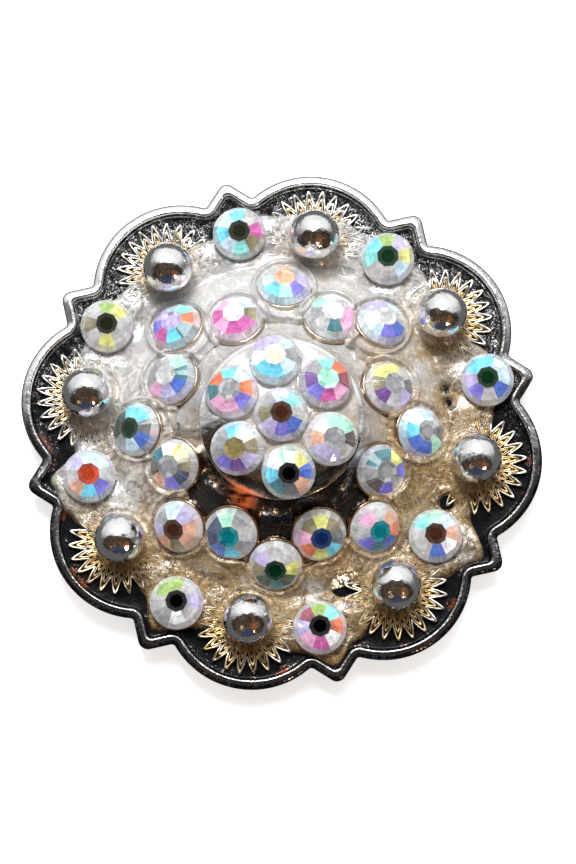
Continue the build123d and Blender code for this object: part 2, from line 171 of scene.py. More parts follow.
# The stones of each ring, in the order of their numbers: the turn in degrees, then the colours of
# the table and of the eight facets, anticlockwise in the photograph from the one on the right
STONES = {
    "outer": [
        (12, "green ice ice cyan cyan lilac violet pearl blue"),
        (4, "green yellow lilac lime cyan aqua pearl pearl ice"),
        (22, "olive magenta pearl cyan ice cyan ice aqua khaki"),
        (30, "olive pearl yellow lime pearl khaki pearl yellow pearl"),
        (9, "red pearl ice ice lilac pearl peach cyan violet"),
        (17, "black lilac pearl lime lime pearl grey white pearl"),
        (26, "black orange aqua lime crimson lilac pink magenta white"),
        (35, "brown peach ice mint aqua pearl pearl blue white"),
    ],
    "mid_outer": [
        (20, "pearl pearl ice lilac lilac ice ice violet blue"),
        (8, "peach lilac pearl peach pearl ice cyan cyan violet"),
        (14, "lilac orange aqua ice lilac violet magenta cyan teal"),
        (31, "green smoke cyan cyan green green grey ice blue"),
        (3, "brown peach lilac ice grey lilac peach khaki peach"),
        (25, "green yellow pearl pearl lilac khaki green teal green"),
        (11, "teal orange peach pearl pink pearl violet teal blue"),
        (38, "grey smoke pearl ice white cyan blue blue mint"),
    ],
    "mid_inner": [
        (16, "grey smoke pearl yellow yellow khaki purple pearl lilac"),
        (28, "white pink pearl ice mint grey pearl teal pink"),
        (2, "white khaki ice white pink magenta pink magenta magenta"),
        (19, "pearl teal mint pearl grey grey pink lilac blue"),
        (33, "grey khaki yellow white teal brown peach violet deep"),
        (7, "teal pearl grey mint deep deep blue cyan grey"),
        (24, "deep smoke khaki yellow khaki pink orange yellow cyan"),
        (13, "grey violet yellow teal teal grey brown violet pearl"),
    ],
    "centre": [
        (10, "mint crimson orange aqua grey purple violet magenta pink"),
        (27, "peach grey ice lilac lilac white cyan cyan ice"),
        (5, "grey orange ice cyan orange teal pink pink violet"),
        (21, "khaki khaki white cyan grey grey violet purple lilac"),
        (36, "black blue yellow mint white cyan teal smoke peach"),
        (15, "grey brown mint mint white peach lilac lilac pearl"),
        (18, "brown pearl aqua ice grey khaki lilac violet blue"),
    ],
}

# How far the glue runs out from the axis, in millimetres, every 7.5 degrees from the first point
GLUE_REACH = [
    17.4, 16.2, 15.4, 15.2, 15.4, 15.8,
    17.0, 15.9, 16.4, 16.2, 16.2, 16.2,
    17.0, 15.4, 15.0, 15.2, 15.6, 15.6,
    17.0, 15.9, 15.9, 15.6, 15.6, 15.2,
    17.2, 16.9, 16.0, 15.6, 15.4, 15.6,
    17.4, 16.0, 15.3, 15.4, 15.9, 16.6,
    17.7, 16.4, 15.0, 15.2, 15.8, 16.4,
    17.4, 15.2, 14.6, 15.0, 15.2, 15.6,
]
# Where the glue begins, in millimetres from the axis, every 15 degrees from the first point
GLUE_START = [
    7.6, 7.5, 7.5, 7.5, 7.5, 7.5, 7.5, 7.5, 7.5, 7.5, 7.6, 7.6,
    7.7, 7.9, 8.6, 9.6, 10.3, 10.6, 10.4, 9.4, 8.4, 7.9, 7.7, 7.6,
]
# Cloudy places in the glue: degrees round the axis, millimetres from it, the radius, and how much
# more golden than round them, or milkier where it is below zero
GLUE_CLOUDS = [
    (313.0, 16.4, 1.2, -0.7),
    (190.0, 12.4, 1.3, -0.7),
    (268.0, 12.0, 1.1, -0.5),
    (8.0, 10.6, 0.8, -0.6),
    (100.0, 12.2, 1.6, -0.7),
    (140.0, 12.6, 1.5, -0.5),
    (63.0, 12.3, 1.1, 0.35),
    (16.0, 12.8, 1.3, 0.3),
    (86.0, 13.4, 0.9, 0.3),
    (154.0, 13.4, 1.1, 0.3),
]
# Bare places in the glue: degrees round the axis, millimetres from it, and the radius
GLUE_HOLES = [
    (278.0, 12.3, 0.75),
    (281.5, 12.9, 0.45),
    (323.5, 13.2, 0.55),
    (357.0, 12.4, 0.28),
    (1.5, 12.4, 0.3),
]


def length(name, description, millimetres):
    """A length property, given in millimetres."""
    return bpy.props.FloatProperty(
        name=name, description=description, default=millimetres * MM, unit="LENGTH", precision=5
    )


def angle(name, description, degrees):
    """An angle property, given in degrees."""
    return bpy.props.FloatProperty(
        name=name, description=description, default=math.radians(degrees), subtype="ANGLE"
    )


def tint(name, description, colour):
    """A colour property."""
    return bpy.props.FloatVectorProperty(
        name=name, description=description, default=colour, subtype="COLOR", size=3, min=0, max=1
    )


class PlateSizes(bpy.types.PropertyGroup):
    """Sizes of the plate's outline, rim, floor and back."""

    lobes: bpy.props.IntProperty(name="Lobes", description="Round lobes of the outline", default=8)
    lobe_reach: length("Lobe reach", "From the axis to a lobe's far point", 19.25)
    lobe_radius: length("Lobe radius", "Radius of a lobe's arc", 6.45)
    point_reach: length("Point reach", "From the axis to a point's sharp tip", 19.2)
    point_half_angle: angle("Point half angle", "Between a point's flank and its middle line", 45)
    point_rounding: length("Point rounding", "Radius at a point's tip", 0.7)
    least_rounding: length("Least rounding", "Radius at the tip of the inner curves", 0.12)
    valley_rounding: length("Valley rounding", "Fillet between a point and a lobe", 0.3)
    rim_height: length("Rim height", "Top of the rim", 2.4)
    rim_width: length("Rim width", "Width of the rim's roll", 0.72)
    rim_crest: length("Rim crest", "From the outline to the roll's crest", 0.54)
    rim_slope: length("Rim slope", "Width of the slope inside the roll", 0.24)
    tuck: length("Tuck", "How far the outer side leans in at the back", 0.42)
    floor_height: length("Floor height", "Top of the sunk floor", 1.8)
    back_rim: length("Back rim", "Width of the flat ring behind", 1.3)
    back_hollow: length("Back hollow", "Depth of the hollow behind", 0.7)


class ReliefSizes(bpy.types.PropertyGroup):
    """Sizes of the berries and of the zigzag sunbursts round them."""

    berry_ring: length("Berry ring", "From the axis to a berry", 14.4)
    berry_radius: length("Berry radius", "Radius of a ball", 1.85)
    berry_height: length("Berry height", "Height of a ball's middle", 4.3)
    teeth: bpy.props.IntProperty(name="Teeth", description="Teeth of one zigzag", default=22)
    burst_radius: length("Burst radius", "From a berry's middle to the tip of a tooth", 4.07)
    tooth_length: length("Tooth length", "From tip to trough of a zigzag", 1.6)


class DomeSizes(bpy.types.PropertyGroup):
    """Sizes of the collar, of the dome and of the cavity behind it."""

    collar_radius: length("Collar radius", "Foot of the collar", 12.3)
    collar_bulge: length("Collar bulge", "Rise of the slope over its chord", 0.35)
    foot_radius: length("Dome foot", "Radius at the dome's foot", 7.3)
    foot_height: length("Foot height", "Height of the dome's foot", 4.15)
    wall_radius: length("Wall radius", "Radius of the dome's wall", 5.8)
    wall_flare: length("Wall flare", "How far the wall curves in towards its foot", 0.3)
    cap_radius: length("Cap radius", "Radius of the cap", 5.95)
    cap_edge_height: length("Cap edge height", "Height of the cap's edge", 7.35)
    cap_edge_thickness: length("Cap edge thickness", "Straight side of the cap", 0.35)
    cap_rise: length("Cap rise", "Rise of the cap over its edge", 0.95)
    cavity_radius: length("Cavity radius", "Radius of the hollow behind", 4.9)
    cavity_height: length("Cavity height", "Ceiling of the hollow", 6.4)
    cavity_rounding: length("Cavity rounding", "Fillet at the ceiling", 0.8)


class StoneSizes(bpy.types.PropertyGroup):
    """Sizes of one flat-back cut stone, of its cup, and how far each ring leans outward."""

    radius: length("Radius", "Half the width of a stone's back", 1.9)
    cut_radius: length("Cut radius", "Half a stone's width at its girdle", 1.94)
    girdle: length("Girdle", "Height of the straight side", 0.45)
    crown: length("Crown", "Height of the facets above the girdle", 0.92)
    table_share: bpy.props.FloatProperty(
        name="Table share", description="The table's width as a share of the stone's", default=0.43
    )
    break_share: bpy.props.FloatProperty(
        name="Break share", description="Where the facets change their slope", default=0.8
    )
    cup_wall: length("Cup wall", "Thickness of a cup's wall", 0.16)
    cup_height: length("Cup height", "Height of a cup over the stone's back", 0.4)
    cup_root: length("Cup root", "Depth of a cup below the stone's back", 1.1)
    outer_lean: angle("Outer lean", "Lean of the lower ring on the slope", 33)
    inner_lean: angle("Inner lean", "Lean of the upper ring on the slope", 27)
    centre_lean: angle("Centre lean", "Lean of the ring on the cap", 14)


class Finishes(bpy.types.PropertyGroup):
    """Colours of the metal and of the glue."""

    silver: tint("Silver", "Bright plate", (0.86, 0.86, 0.85))
    # The golden shade of the relief, also used for its painted warm reflection
    brass_and_painted_reflection: tint("Brass", "Warm shade of the relief", (0.84, 0.62, 0.32))
    # A painted red reflection inside the rim and on the dome's lower wall
    painted_red_reflection: tint("Rust", "Reddish shade inside the rim and below the dome", (0.55, 0.12, 0.03))
    bronze: tint("Bronze", "Brown shade of the cups", (0.40, 0.27, 0.15))
    # The blackened floor's colour, also used for painted shade on the rim and the dome
    blacking_and_painted_shade: tint("Blacking", "Blackened floor", (0.004, 0.0045, 0.006))
    steel: tint("Steel", "Turned post", (0.55, 0.55, 0.54))
    clear_glue: tint("Clear glue", "Whitish glue", (0.66, 0.65, 0.645))
    tan_glue: tint("Tan glue", "Golden shade in the glue", (0.45, 0.315, 0.15))
    grey_streak: tint("Grey streak", "Streaks in the whitish glue", (0.55, 0.54, 0.52))
    brown_streak: tint("Brown streak", "Streaks in the golden glue", (0.34, 0.20, 0.07))


def seen(colour):
    """A colour as it looks on a screen, turned into the light that it stands for."""
    return np.asarray(colour, dtype=float) ** 2.2


def unit(angles):
    """Unit vectors in the plane at angles in radians."""
    return np.stack([np.cos(angles), np.sin(angles)], axis=-1)


def toward(turned=0.0):
    """The direction in the plane at an angle in degrees from the uppermost side."""
    return unit(np.radians(UPPERMOST + turned))


def aloft(turned, elevation):
    """The direction at angles in degrees from the uppermost side and above the floor."""
    rise = math.radians(elevation)
    return np.array([*(toward(turned) * math.cos(rise)), math.sin(rise)])


def full_turn(count):
    """Even angles once round, in radians."""
    return np.linspace(0, 2 * math.pi, count, endpoint=False)


def bell(value, middle, width):
    """A smooth hump that is one at its middle and about a third at its width from it."""
    return np.exp(-((value - middle) / width) ** 2)


def away(points, middle):
    """Distances in the plane from a point, in millimetres."""
    return np.linalg.norm(points - middle, axis=-1) / MM


def straight(start, end, count):
    """Points evenly along a straight line in the plane."""
    return start + np.linspace(0, 1, count)[:, None] * (np.asarray(end) - start)


def arc(centre, radius, start, end, count):
    """Points along a circular arc in the plane, from and to an angle in degrees."""
    return np.asarray(centre) + radius * unit(np.radians(np.linspace(start, end, count)))


def raised(points, heights):
    """Plane points lifted to their heights."""
    heights = np.broadcast_to(heights, points.shape[:-1])
    return np.concatenate([points, heights[..., None]], axis=-1)


def outline(inset, plate):
    """The lobed and pointed outline moved inward by inset, as points anticlockwise.

    Half a sector runs from a point's tip round its rounding, down its flank, through the fillet of
    the valley and along the lobe's arc to its far point. Moved inward, the lobe's radius shrinks, the
    fillet's grows and the flank moves by the inset. The half is mirrored, then turned for each lobe."""
    half = plate.point_half_angle
    rounding = max(plate.point_rounding - 0.35 * inset, plate.least_rounding)
    tip_centre = np.array([plate.point_reach - (inset + rounding) / math.sin(half), 0])
    normal = np.array([math.sin(half), math.cos(half)])
    back = np.array([-math.cos(half), math.sin(half)])
    lobe_centre = (plate.lobe_reach - plate.lobe_radius) * unit(np.array(math.pi / plate.lobes))
    from_lobe = np.array([plate.point_reach, 0]) + normal * plate.valley_rounding - lobe_centre
    along = from_lobe @ back
    touch = (plate.lobe_radius + plate.valley_rounding) ** 2
    run = -along - math.sqrt(along ** 2 - from_lobe @ from_lobe + touch)
    valley_centre = lobe_centre + from_lobe + back * run
    to_lobe = lobe_centre - valley_centre
    lobe_turn = math.degrees(math.atan2(to_lobe[1], to_lobe[0]))
    fillet = plate.valley_rounding + inset
    flank_turn = 270 - math.degrees(half)
    parts = [
        arc(tip_centre, rounding, 0, flank_turn - 180, 9),
        straight(tip_centre + rounding * normal, valley_centre - fillet * normal, 10),
        arc(valley_centre, fillet, flank_turn, lobe_turn, 10),
        arc(lobe_centre, plate.lobe_radius - inset, lobe_turn - 180, 180 / plate.lobes, 36),
    ]
    path = np.concatenate([parts[0]] + [part[1:] for part in parts[1:]])
    angles = np.arctan2(path[:, 1], path[:, 0])
    radii = np.hypot(path[:, 0], path[:, 1])
    angles = np.concatenate([angles, 2 * math.pi / plate.lobes - angles[-2:0:-1]])
    radii = np.concatenate([radii, radii[-2:0:-1]])
    turns = np.arange(plate.lobes)[:, None] * 2 * math.pi / plate.lobes
    return np.tile(radii, plate.lobes)[:, None] * unit((angles + turns).ravel())


def turned_rings(profile, columns):
    """A profile of radius and height carried round the axis, as rings of points."""
    profile = np.asarray(profile, dtype=float)
    return raised(unit(full_turn(columns))[None] * profile[:, None, :1], profile[:, None, 1])


def ring_mesh(name, rings, closed=False):
    """A mesh of quads between rings of points that run up the outside.

    A closed one joins its last ring to its first, and any other has a flat face over each end."""
    rows, columns = rings.shape[:2]
    index = np.arange(rows * columns).reshape(rows, columns)
    around = np.concatenate([index, index[:, :1]], axis=1)
    if closed:
        around = np.concatenate([around, around[:1]])
    corners = [around[:-1, :-1], around[:-1, 1:], around[1:, 1:], around[1:, :-1]]
    quads = np.stack(corners, axis=-1).reshape(-1, 4)
    caps = [] if closed else [index[0][::-1], index[-1]]
    loops = np.concatenate([quads.ravel()] + caps)
    starts = np.arange(0, quads.size, 4)
    starts = np.concatenate([starts, quads.size + columns * np.arange(len(caps))])
    mesh = bpy.data.meshes.new(name)
    mesh.vertices.add(rows * columns)
    mesh.vertices.foreach_set("co", rings.astype(np.float32).ravel())
    mesh.loops.add(len(loops))
    mesh.loops.foreach_set("vertex_index", loops.astype(np.int32))
    mesh.polygons.add(len(starts))
    mesh.polygons.foreach_set("loop_start", starts.astype(np.int32))
    mesh.update(calc_edges=True)
    return mesh


def joined_mesh(name, meshes):
    """One mesh out of many, with their attributes."""
    work = bmesh.new()
    for mesh in meshes:
        work.from_mesh(mesh)
        bpy.data.meshes.remove(mesh)
    whole = bpy.data.meshes.new(name)
    work.to_mesh(whole)
    work.free()
    return whole


def paint(mesh, name, values):
    """Stores one value for each point of a mesh."""
    layer = mesh.attributes.new(name, "FLOAT", "POINT")
    layer.data.foreach_set("value", np.ascontiguousarray(values, dtype=np.float32).ravel())


def add_piece(name, mesh, material, nodes, smooth=True):
    """Links a mesh as a piece of the concho that stands for some of its nodes."""
    mesh.polygons.foreach_set("use_smooth", np.full(len(mesh.polygons), smooth))
    mesh.materials.append(material)
    piece = bpy.data.objects.new(name, mesh)
    bpy.context.scene.collection.objects.link(piece)
    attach(piece, "root")
    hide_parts(*nodes)


def add_casting(name, mesh, material):
    """Links a mesh as a piece that stands for the casting."""
    add_piece(name, mesh, material, ["cast_plate"])


def ripple(points, pitch, seed, waves=7):
    """A smooth field of sines in seeded directions, up to about one, for hand-made unevenness."""
    draw = np.random.default_rng(seed)
    field = np.zeros(points.shape[:-1])
    for _ in range(waves):
        direction = draw.normal(size=points.shape[-1])
        direction *= 2 * math.pi / (np.linalg.norm(direction) * pitch * draw.uniform(0.7, 1.5))
        field += np.sin(points @ direction + draw.uniform(0, 2 * math.pi))
    return field * 2 / waves


def smooth_step(value, low, high):
    """Zero below low, one above high and an even S between."""
    share = np.clip((value - low) / (high - low), 0, 1)
    return share * share * (3 - 2 * share)


def warm_side(points):
    """From zero on the side that is uppermost in the photograph to one on its lower right."""
    return smooth_step(points[..., :2] @ toward(-155.0), -12 * MM, 9 * MM)


def berry_places(plate, relief):
    """The angle and the middle of each berry, half way between two points of the outline."""
    bearings = [(number + 0.5) * 2 * math.pi / plate.lobes for number in range(plate.lobes)]
    return [(bearing, relief.berry_ring * unit(np.array(bearing))) for bearing in bearings]


def stone_place(node, stones):
    """The middle of a stone's back, its axis, its downhill direction and its angle, from its box.

    The back is a disc, so its lowest point lies a radius times the sine of the lean below its middle,
    and the middle of the box lies half a girdle further along the axis."""
    low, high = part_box(node)
    low, high = np.array(low), np.array(high)
    leans = {
        "outer": 0.0,
        "mid_outer": stones.outer_lean,
        "mid_inner": stones.inner_lean,
        "centre": stones.centre_lean,
    }
    tilt = leans[node.split("_crystal_")[0]]
    middle = (low + high) / 2
    if np.hypot(middle[0], middle[1]) < stones.radius / 2:
        tilt = 0.0
    turn = math.atan2(middle[1], middle[0])
    axis = raised(math.sin(tilt) * unit(np.array(turn)), math.cos(tilt))
    downhill = raised(math.cos(tilt) * unit(np.array(turn)), -math.sin(tilt))
    foot = middle - axis * stones.girdle / 2
    foot[2] = low[2] + stones.radius * math.sin(tilt)
    return foot, axis, downhill, turn


def stone_places(ring, stones):
    """The places of all the stones of a ring, in the order of their numbers."""
    nodes = [f"{ring}_crystal_{number + 1}" for number in range(len(STONES[ring]))]
    return [stone_place(node, stones) for node in nodes]


def set_on(rings, foot, axis, downhill):
    """Rings in a stone's own frame, moved to its place."""
    across = np.cross(axis, downhill)
    return foot + rings[..., :1] * downhill + rings[..., 1:2] * across + rings[..., 2:] * axis


def collar_arc(dome, plate):
    """Centre and radius of the arc of the collar's slope, from its two ends and its bulge."""
    foot = np.array([dome.collar_radius, plate.floor_height])
    top = np.array([dome.foot_radius, dome.foot_height])
    chord = top - foot
    span = np.linalg.norm(chord)
    outward = np.array([chord[1], -chord[0]]) / span
    radius = (span ** 2 / 4 + dome.collar_bulge ** 2) / (2 * dome.collar_bulge)
    return (foot + top) / 2 - outward * (radius - dome.collar_bulge), radius


def wall_curve(dome):
    """The dome's wall from its foot up to the cap, a line that bows inward and down."""
    foot = np.array([dome.foot_radius, dome.foot_height])
    top = np.array([dome.wall_radius, dome.cap_edge_height - dome.cap_edge_thickness])
    run = np.linspace(0, 1, 16)[:, None]
    return foot + (top - foot) * run - 4 * dome.wall_flare * run * (1 - run)


def cap_ball(dome):
    """Radius of the ball that the cap is a slice of."""
    return (dome.cap_radius ** 2 + dome.cap_rise ** 2) / (2 * dome.cap_rise)


def cap_top(distance, dome):
    """Height of the cap at a distance from the axis, a slice of a ball."""
    ball = cap_ball(dome)
    inside = np.minimum(distance, dome.cap_radius)
    return dome.cap_edge_height + dome.cap_rise - ball + np.sqrt(ball ** 2 - inside ** 2)


def collar_top(distance, dome, plate):
    """Height of the collar's slope at a distance from the axis, and of the floor outside it."""
    centre, radius = collar_arc(dome, plate)
    inside = np.clip(distance, dome.foot_radius, dome.collar_radius)
    height = centre[1] + np.sqrt(radius ** 2 - (inside - centre[0]) ** 2)
    return np.where(distance > dome.collar_radius, plate.floor_height, height)


def feed(tree, socket, value):
    """Links a socket to another one, or gives it a plain value."""
    if isinstance(value, bpy.types.NodeSocket):
        tree.links.new(value, socket)
    elif isinstance(value, (int, float)):
        socket.default_value = value
    else:
        socket.default_value = (*value, 1.0)


def feed_all(tree, node, values):
    """Feeds a node's inputs by their names."""
    for name, value in values.items():
        feed(tree, node.inputs[name], value)
    return node


def set_shader(tree, values):
    """Feeds the inputs of a material's own shader."""
    feed_all(tree, tree.nodes["Principled BSDF"], values)


def new_material(name):
    """A node material by name, with its tree if it still has to be made."""
    known = bpy.data.materials.get(name)
    if known:
        return known, None
    material = bpy.data.materials.new(name)
    material.use_nodes = True
    return material, material.node_tree


def attribute(tree, name, output="Fac"):
    """A value that the mesh carries."""
    node = tree.nodes.new("ShaderNodeAttribute")
    node.attribute_name = name
    return node.outputs[output]


def place(tree):
    """The point on the object, in metres."""
    return tree.nodes.new("ShaderNodeTexCoord").outputs["Object"]


def noise(tree, vector, pitch, detail=3.0, roughness=0.55, swirl=0.0):
    """Even noise from zero to one in lumps of a pitch, or in streaks where it swirls."""
    values = {"Scale": 1 / pitch, "Detail": detail, "Roughness": roughness, "Distortion": swirl}
    node = feed_all(tree, tree.nodes.new("ShaderNodeTexNoise"), {**values, "Vector": vector})
    return node.outputs["Fac"]


def spread(tree, value, low, high, out_low=0.0, out_high=1.0):
    """A value moved from one range to another and kept inside it."""
    ends = {"From Min": low, "From Max": high, "To Min": out_low, "To Max": out_high}
    node = feed_all(tree, tree.nodes.new("ShaderNodeMapRange"), {**ends, "Value": value})
    return node.outputs["Result"]


def calculate(tree, operation, first, second):
    """Arithmetic on two values."""
    node = tree.nodes.new("ShaderNodeMath")
    node.operation = operation
    feed(tree, node.inputs[0], first)
    feed(tree, node.inputs[1], second)
    return node.outputs[0]


def blend(tree, share, first, second, mode="MIX"):
    """A colour between two colours."""
    node = tree.nodes.new("ShaderNodeMix")
    node.data_type = "RGBA"
    node.blend_type = mode
    live = {one.name: one for one in node.inputs if one.enabled}
    for name, value in (("Factor", share), ("A", first), ("B", second)):
        feed(tree, live[name], value)
    return [one for one in node.outputs if one.enabled][0]


def bump(tree, height, depth, strength=1.0, under=None):
    """A normal from a height, with its depth in metres, over another one."""
    values = {"Strength": strength, "Distance": depth, "Height": height}
    if under:
        values["Normal"] = under
    return feed_all(tree, tree.nodes.new("ShaderNodeBump"), values).outputs["Normal"]


def cast_skin():
    """The uneven skin of a polished casting: slow waves, dents, fine pits and a cloudy polish."""
    known = bpy.data.node_groups.get("Cast skin")
    if known:
        return known
    group = bpy.data.node_groups.new("Cast skin", "ShaderNodeTree")
    for name, way, kind in (
        ("Wave depth", "INPUT", "Float"),
        ("Roughness", "OUTPUT", "Float"),
        ("Wear", "OUTPUT", "Float"),
        ("Normal", "OUTPUT", "Vector"),
    ):
        group.interface.new_socket(name, in_out=way, socket_type=f"NodeSocket{kind}")
    depth = group.nodes.new("NodeGroupInput").outputs["Wave depth"]
    point = place(group)
    waves = calculate(group, "MULTIPLY", noise(group, point, 1.6 * MM, 2.0), depth)
    dents = calculate(group, "MULTIPLY", noise(group, point, 0.5 * MM, 3.0), depth)
    pits = noise(group, point, 0.12 * MM, 2.0)
    normal = bump(group, waves, 1.0 * MM)
    normal = bump(group, dents, 0.35 * MM, 1.0, normal)
    normal = bump(group, pits, 0.006 * MM, 0.6, normal)
    cloud = noise(group, point, 0.9 * MM, 4.0, 0.7)
    feed_all(group, group.nodes.new("NodeGroupOutput"), {
        "Roughness": spread(group, cloud, 0.35, 0.7, 0.03, 0.16),
        "Wear": spread(group, cloud, 0.45, 0.75),
        "Normal": normal,
    })
    return group


def metal_material(name, finishes, warm, wave_depth, dull, mirror_loss=0.0, glow=0.0):
    """Bright plate over an uneven casting, blackened or warm where the mesh says so. The blackening is
    also painted shade in places, and the warm places are partly painted reflection.

    Dull is added to the roughness. The warm places lose their mirror by a share, and a glow gives
    them a light of their own, painted light, less where they are black."""
    material, tree = new_material(name)
    if tree is None:
        return material
    silver, warm = tuple(finishes.silver), tuple(warm)
    point, warmth = place(tree), attribute(tree, "warmth")
    skin = tree.nodes.new("ShaderNodeGroup")
    skin.node_tree = cast_skin()
    skin.inputs["Wave depth"].default_value = wave_depth
    base = blend(tree, skin.outputs["Wear"], silver, tuple(0.86 * part for part in silver))
    base = blend(tree, warmth, base, warm)
    grains = spread(tree, noise(tree, point, 0.16 * MM, 3.0, 0.6, 1.0), 0.50, 0.66)
    patches = spread(tree, noise(tree, point, 1.1 * MM, 3.0), 0.38, 0.58)
    rubbed = calculate(tree, "MULTIPLY", grains, patches)
    black = spread(tree, calculate(tree, "SUBTRACT", attribute(tree, "blacking_and_painted_shade"), rubbed), 0.0, 1.0)
    bare = spread(tree, black, 0.85, 1.0, 1.0, 0.0)
    mirror_kept = spread(tree, warmth, 0.0, 1.0, 1.0, 1.0 - mirror_loss)
    set_shader(tree, {
        "Base Color": blend(tree, black, base, tuple(finishes.blacking_and_painted_shade)),
        "Metallic": calculate(tree, "MULTIPLY", bare, mirror_kept),
        "Roughness": calculate(tree, "ADD", skin.outputs["Roughness"], dull),
        "Normal": skin.outputs["Normal"],
        "Specular IOR Level": 0.12,
    })
    if glow:
        shine = blend(tree, calculate(tree, "SUBTRACT", warmth, black), (0, 0, 0), warm)
        set_shader(tree, {"Emission Color": shine, "Emission Strength": glow})
    return material


def stone_material():
    """Foil-backed glass, each facet a painted reflection of one room colour, with a painted glow."""
    material, tree = new_material("Foiled crystal")
    if tree is None:
        return material
    shade = spread(tree, noise(tree, place(tree), 0.45 * MM, 3.0, 0.65), 0.38, 0.68, 0.0, 0.7)
    colour = blend(tree, shade, attribute(tree, "facet", "Color"), (0.45, 0.45, 0.47), "MULTIPLY")
    set_shader(tree, {
        "Base Color": colour,
        # Painted light: the facets' colours glow a little of their own
        "Emission Color": colour,
        "Emission Strength": 0.38,
        "Roughness": 0.05,
        "IOR": 1.5,
        "Coat Weight": 0.25,
        "Coat Roughness": 0.02,
    })
    return material


def glue_material(name, finishes, pitch, streaky, lumpy, milky):
    """Clear glue full of streaks and painted glints, whitish or golden where the mesh says so, and
    clearer where thin.

    The pitch is that of its streaks, and milky is the least that it covers in its clear windows."""
    material, tree = new_material(name)
    if tree is None:
        return material
    point, calm = place(tree), attribute(tree, "calm")
    clouds = spread(tree, noise(tree, point, 1.4 * MM, 4.0, 0.6), 0.3, 0.7, -0.3, 0.3)
    warmth = spread(tree, calculate(tree, "ADD", attribute(tree, "warmth"), clouds), 0.1, 0.9)
    light = blend(tree, warmth, tuple(finishes.clear_glue), tuple(finishes.tan_glue))
    dark = blend(tree, warmth, tuple(finishes.grey_streak), tuple(finishes.brown_streak))
    lively = spread(tree, calm, 0.0, 1.0, 1.0, 0.3)
    streaks = spread(tree, noise(tree, point, pitch, 4.0, 0.6, 2.0), 0.46, 0.66, 0.0, streaky)
    colour = blend(tree, calculate(tree, "MULTIPLY", streaks, lively), light, dark)
    fine = noise(tree, point, 0.45 * pitch, 2.0, 0.6, 1.0)
    # Painted glints: fine bright specks in the glue's colour
    painted_sparkle = spread(tree, fine, 0.55, 0.66, 0.0, 0.6 * streaky)
    milk = spread(tree, noise(tree, point, 0.9 * MM, 4.0, 0.6, 1.5), 0.38, 0.60, milky, 0.95)
    milk = calculate(tree, "MAXIMUM", milk, spread(tree, calm, 0.0, 1.0, 0.0, 0.74))
    deep = spread(tree, attribute(tree, "depth"), 0.0, 1.0, 0.52, 1.0)
    lumps = calculate(tree, "MULTIPLY", noise(tree, point, 0.8 * MM, 3.0), lively)
    grain = calculate(tree, "MULTIPLY", fine, lively)
    set_shader(tree, {
        "Base Color": blend(tree, painted_sparkle, colour, (0.95, 0.90, 0.80)),
        "Alpha": calculate(tree, "MULTIPLY", milk, deep),
        "Normal": bump(tree, grain, 0.08 * MM, lumpy, bump(tree, lumps, 0.30 * MM, lumpy)),
        "Roughness": 0.10,
        "Specular IOR Level": 0.8,
        "Coat Weight": 0.8,
        "Coat Roughness": 0.04,
    })
    return material


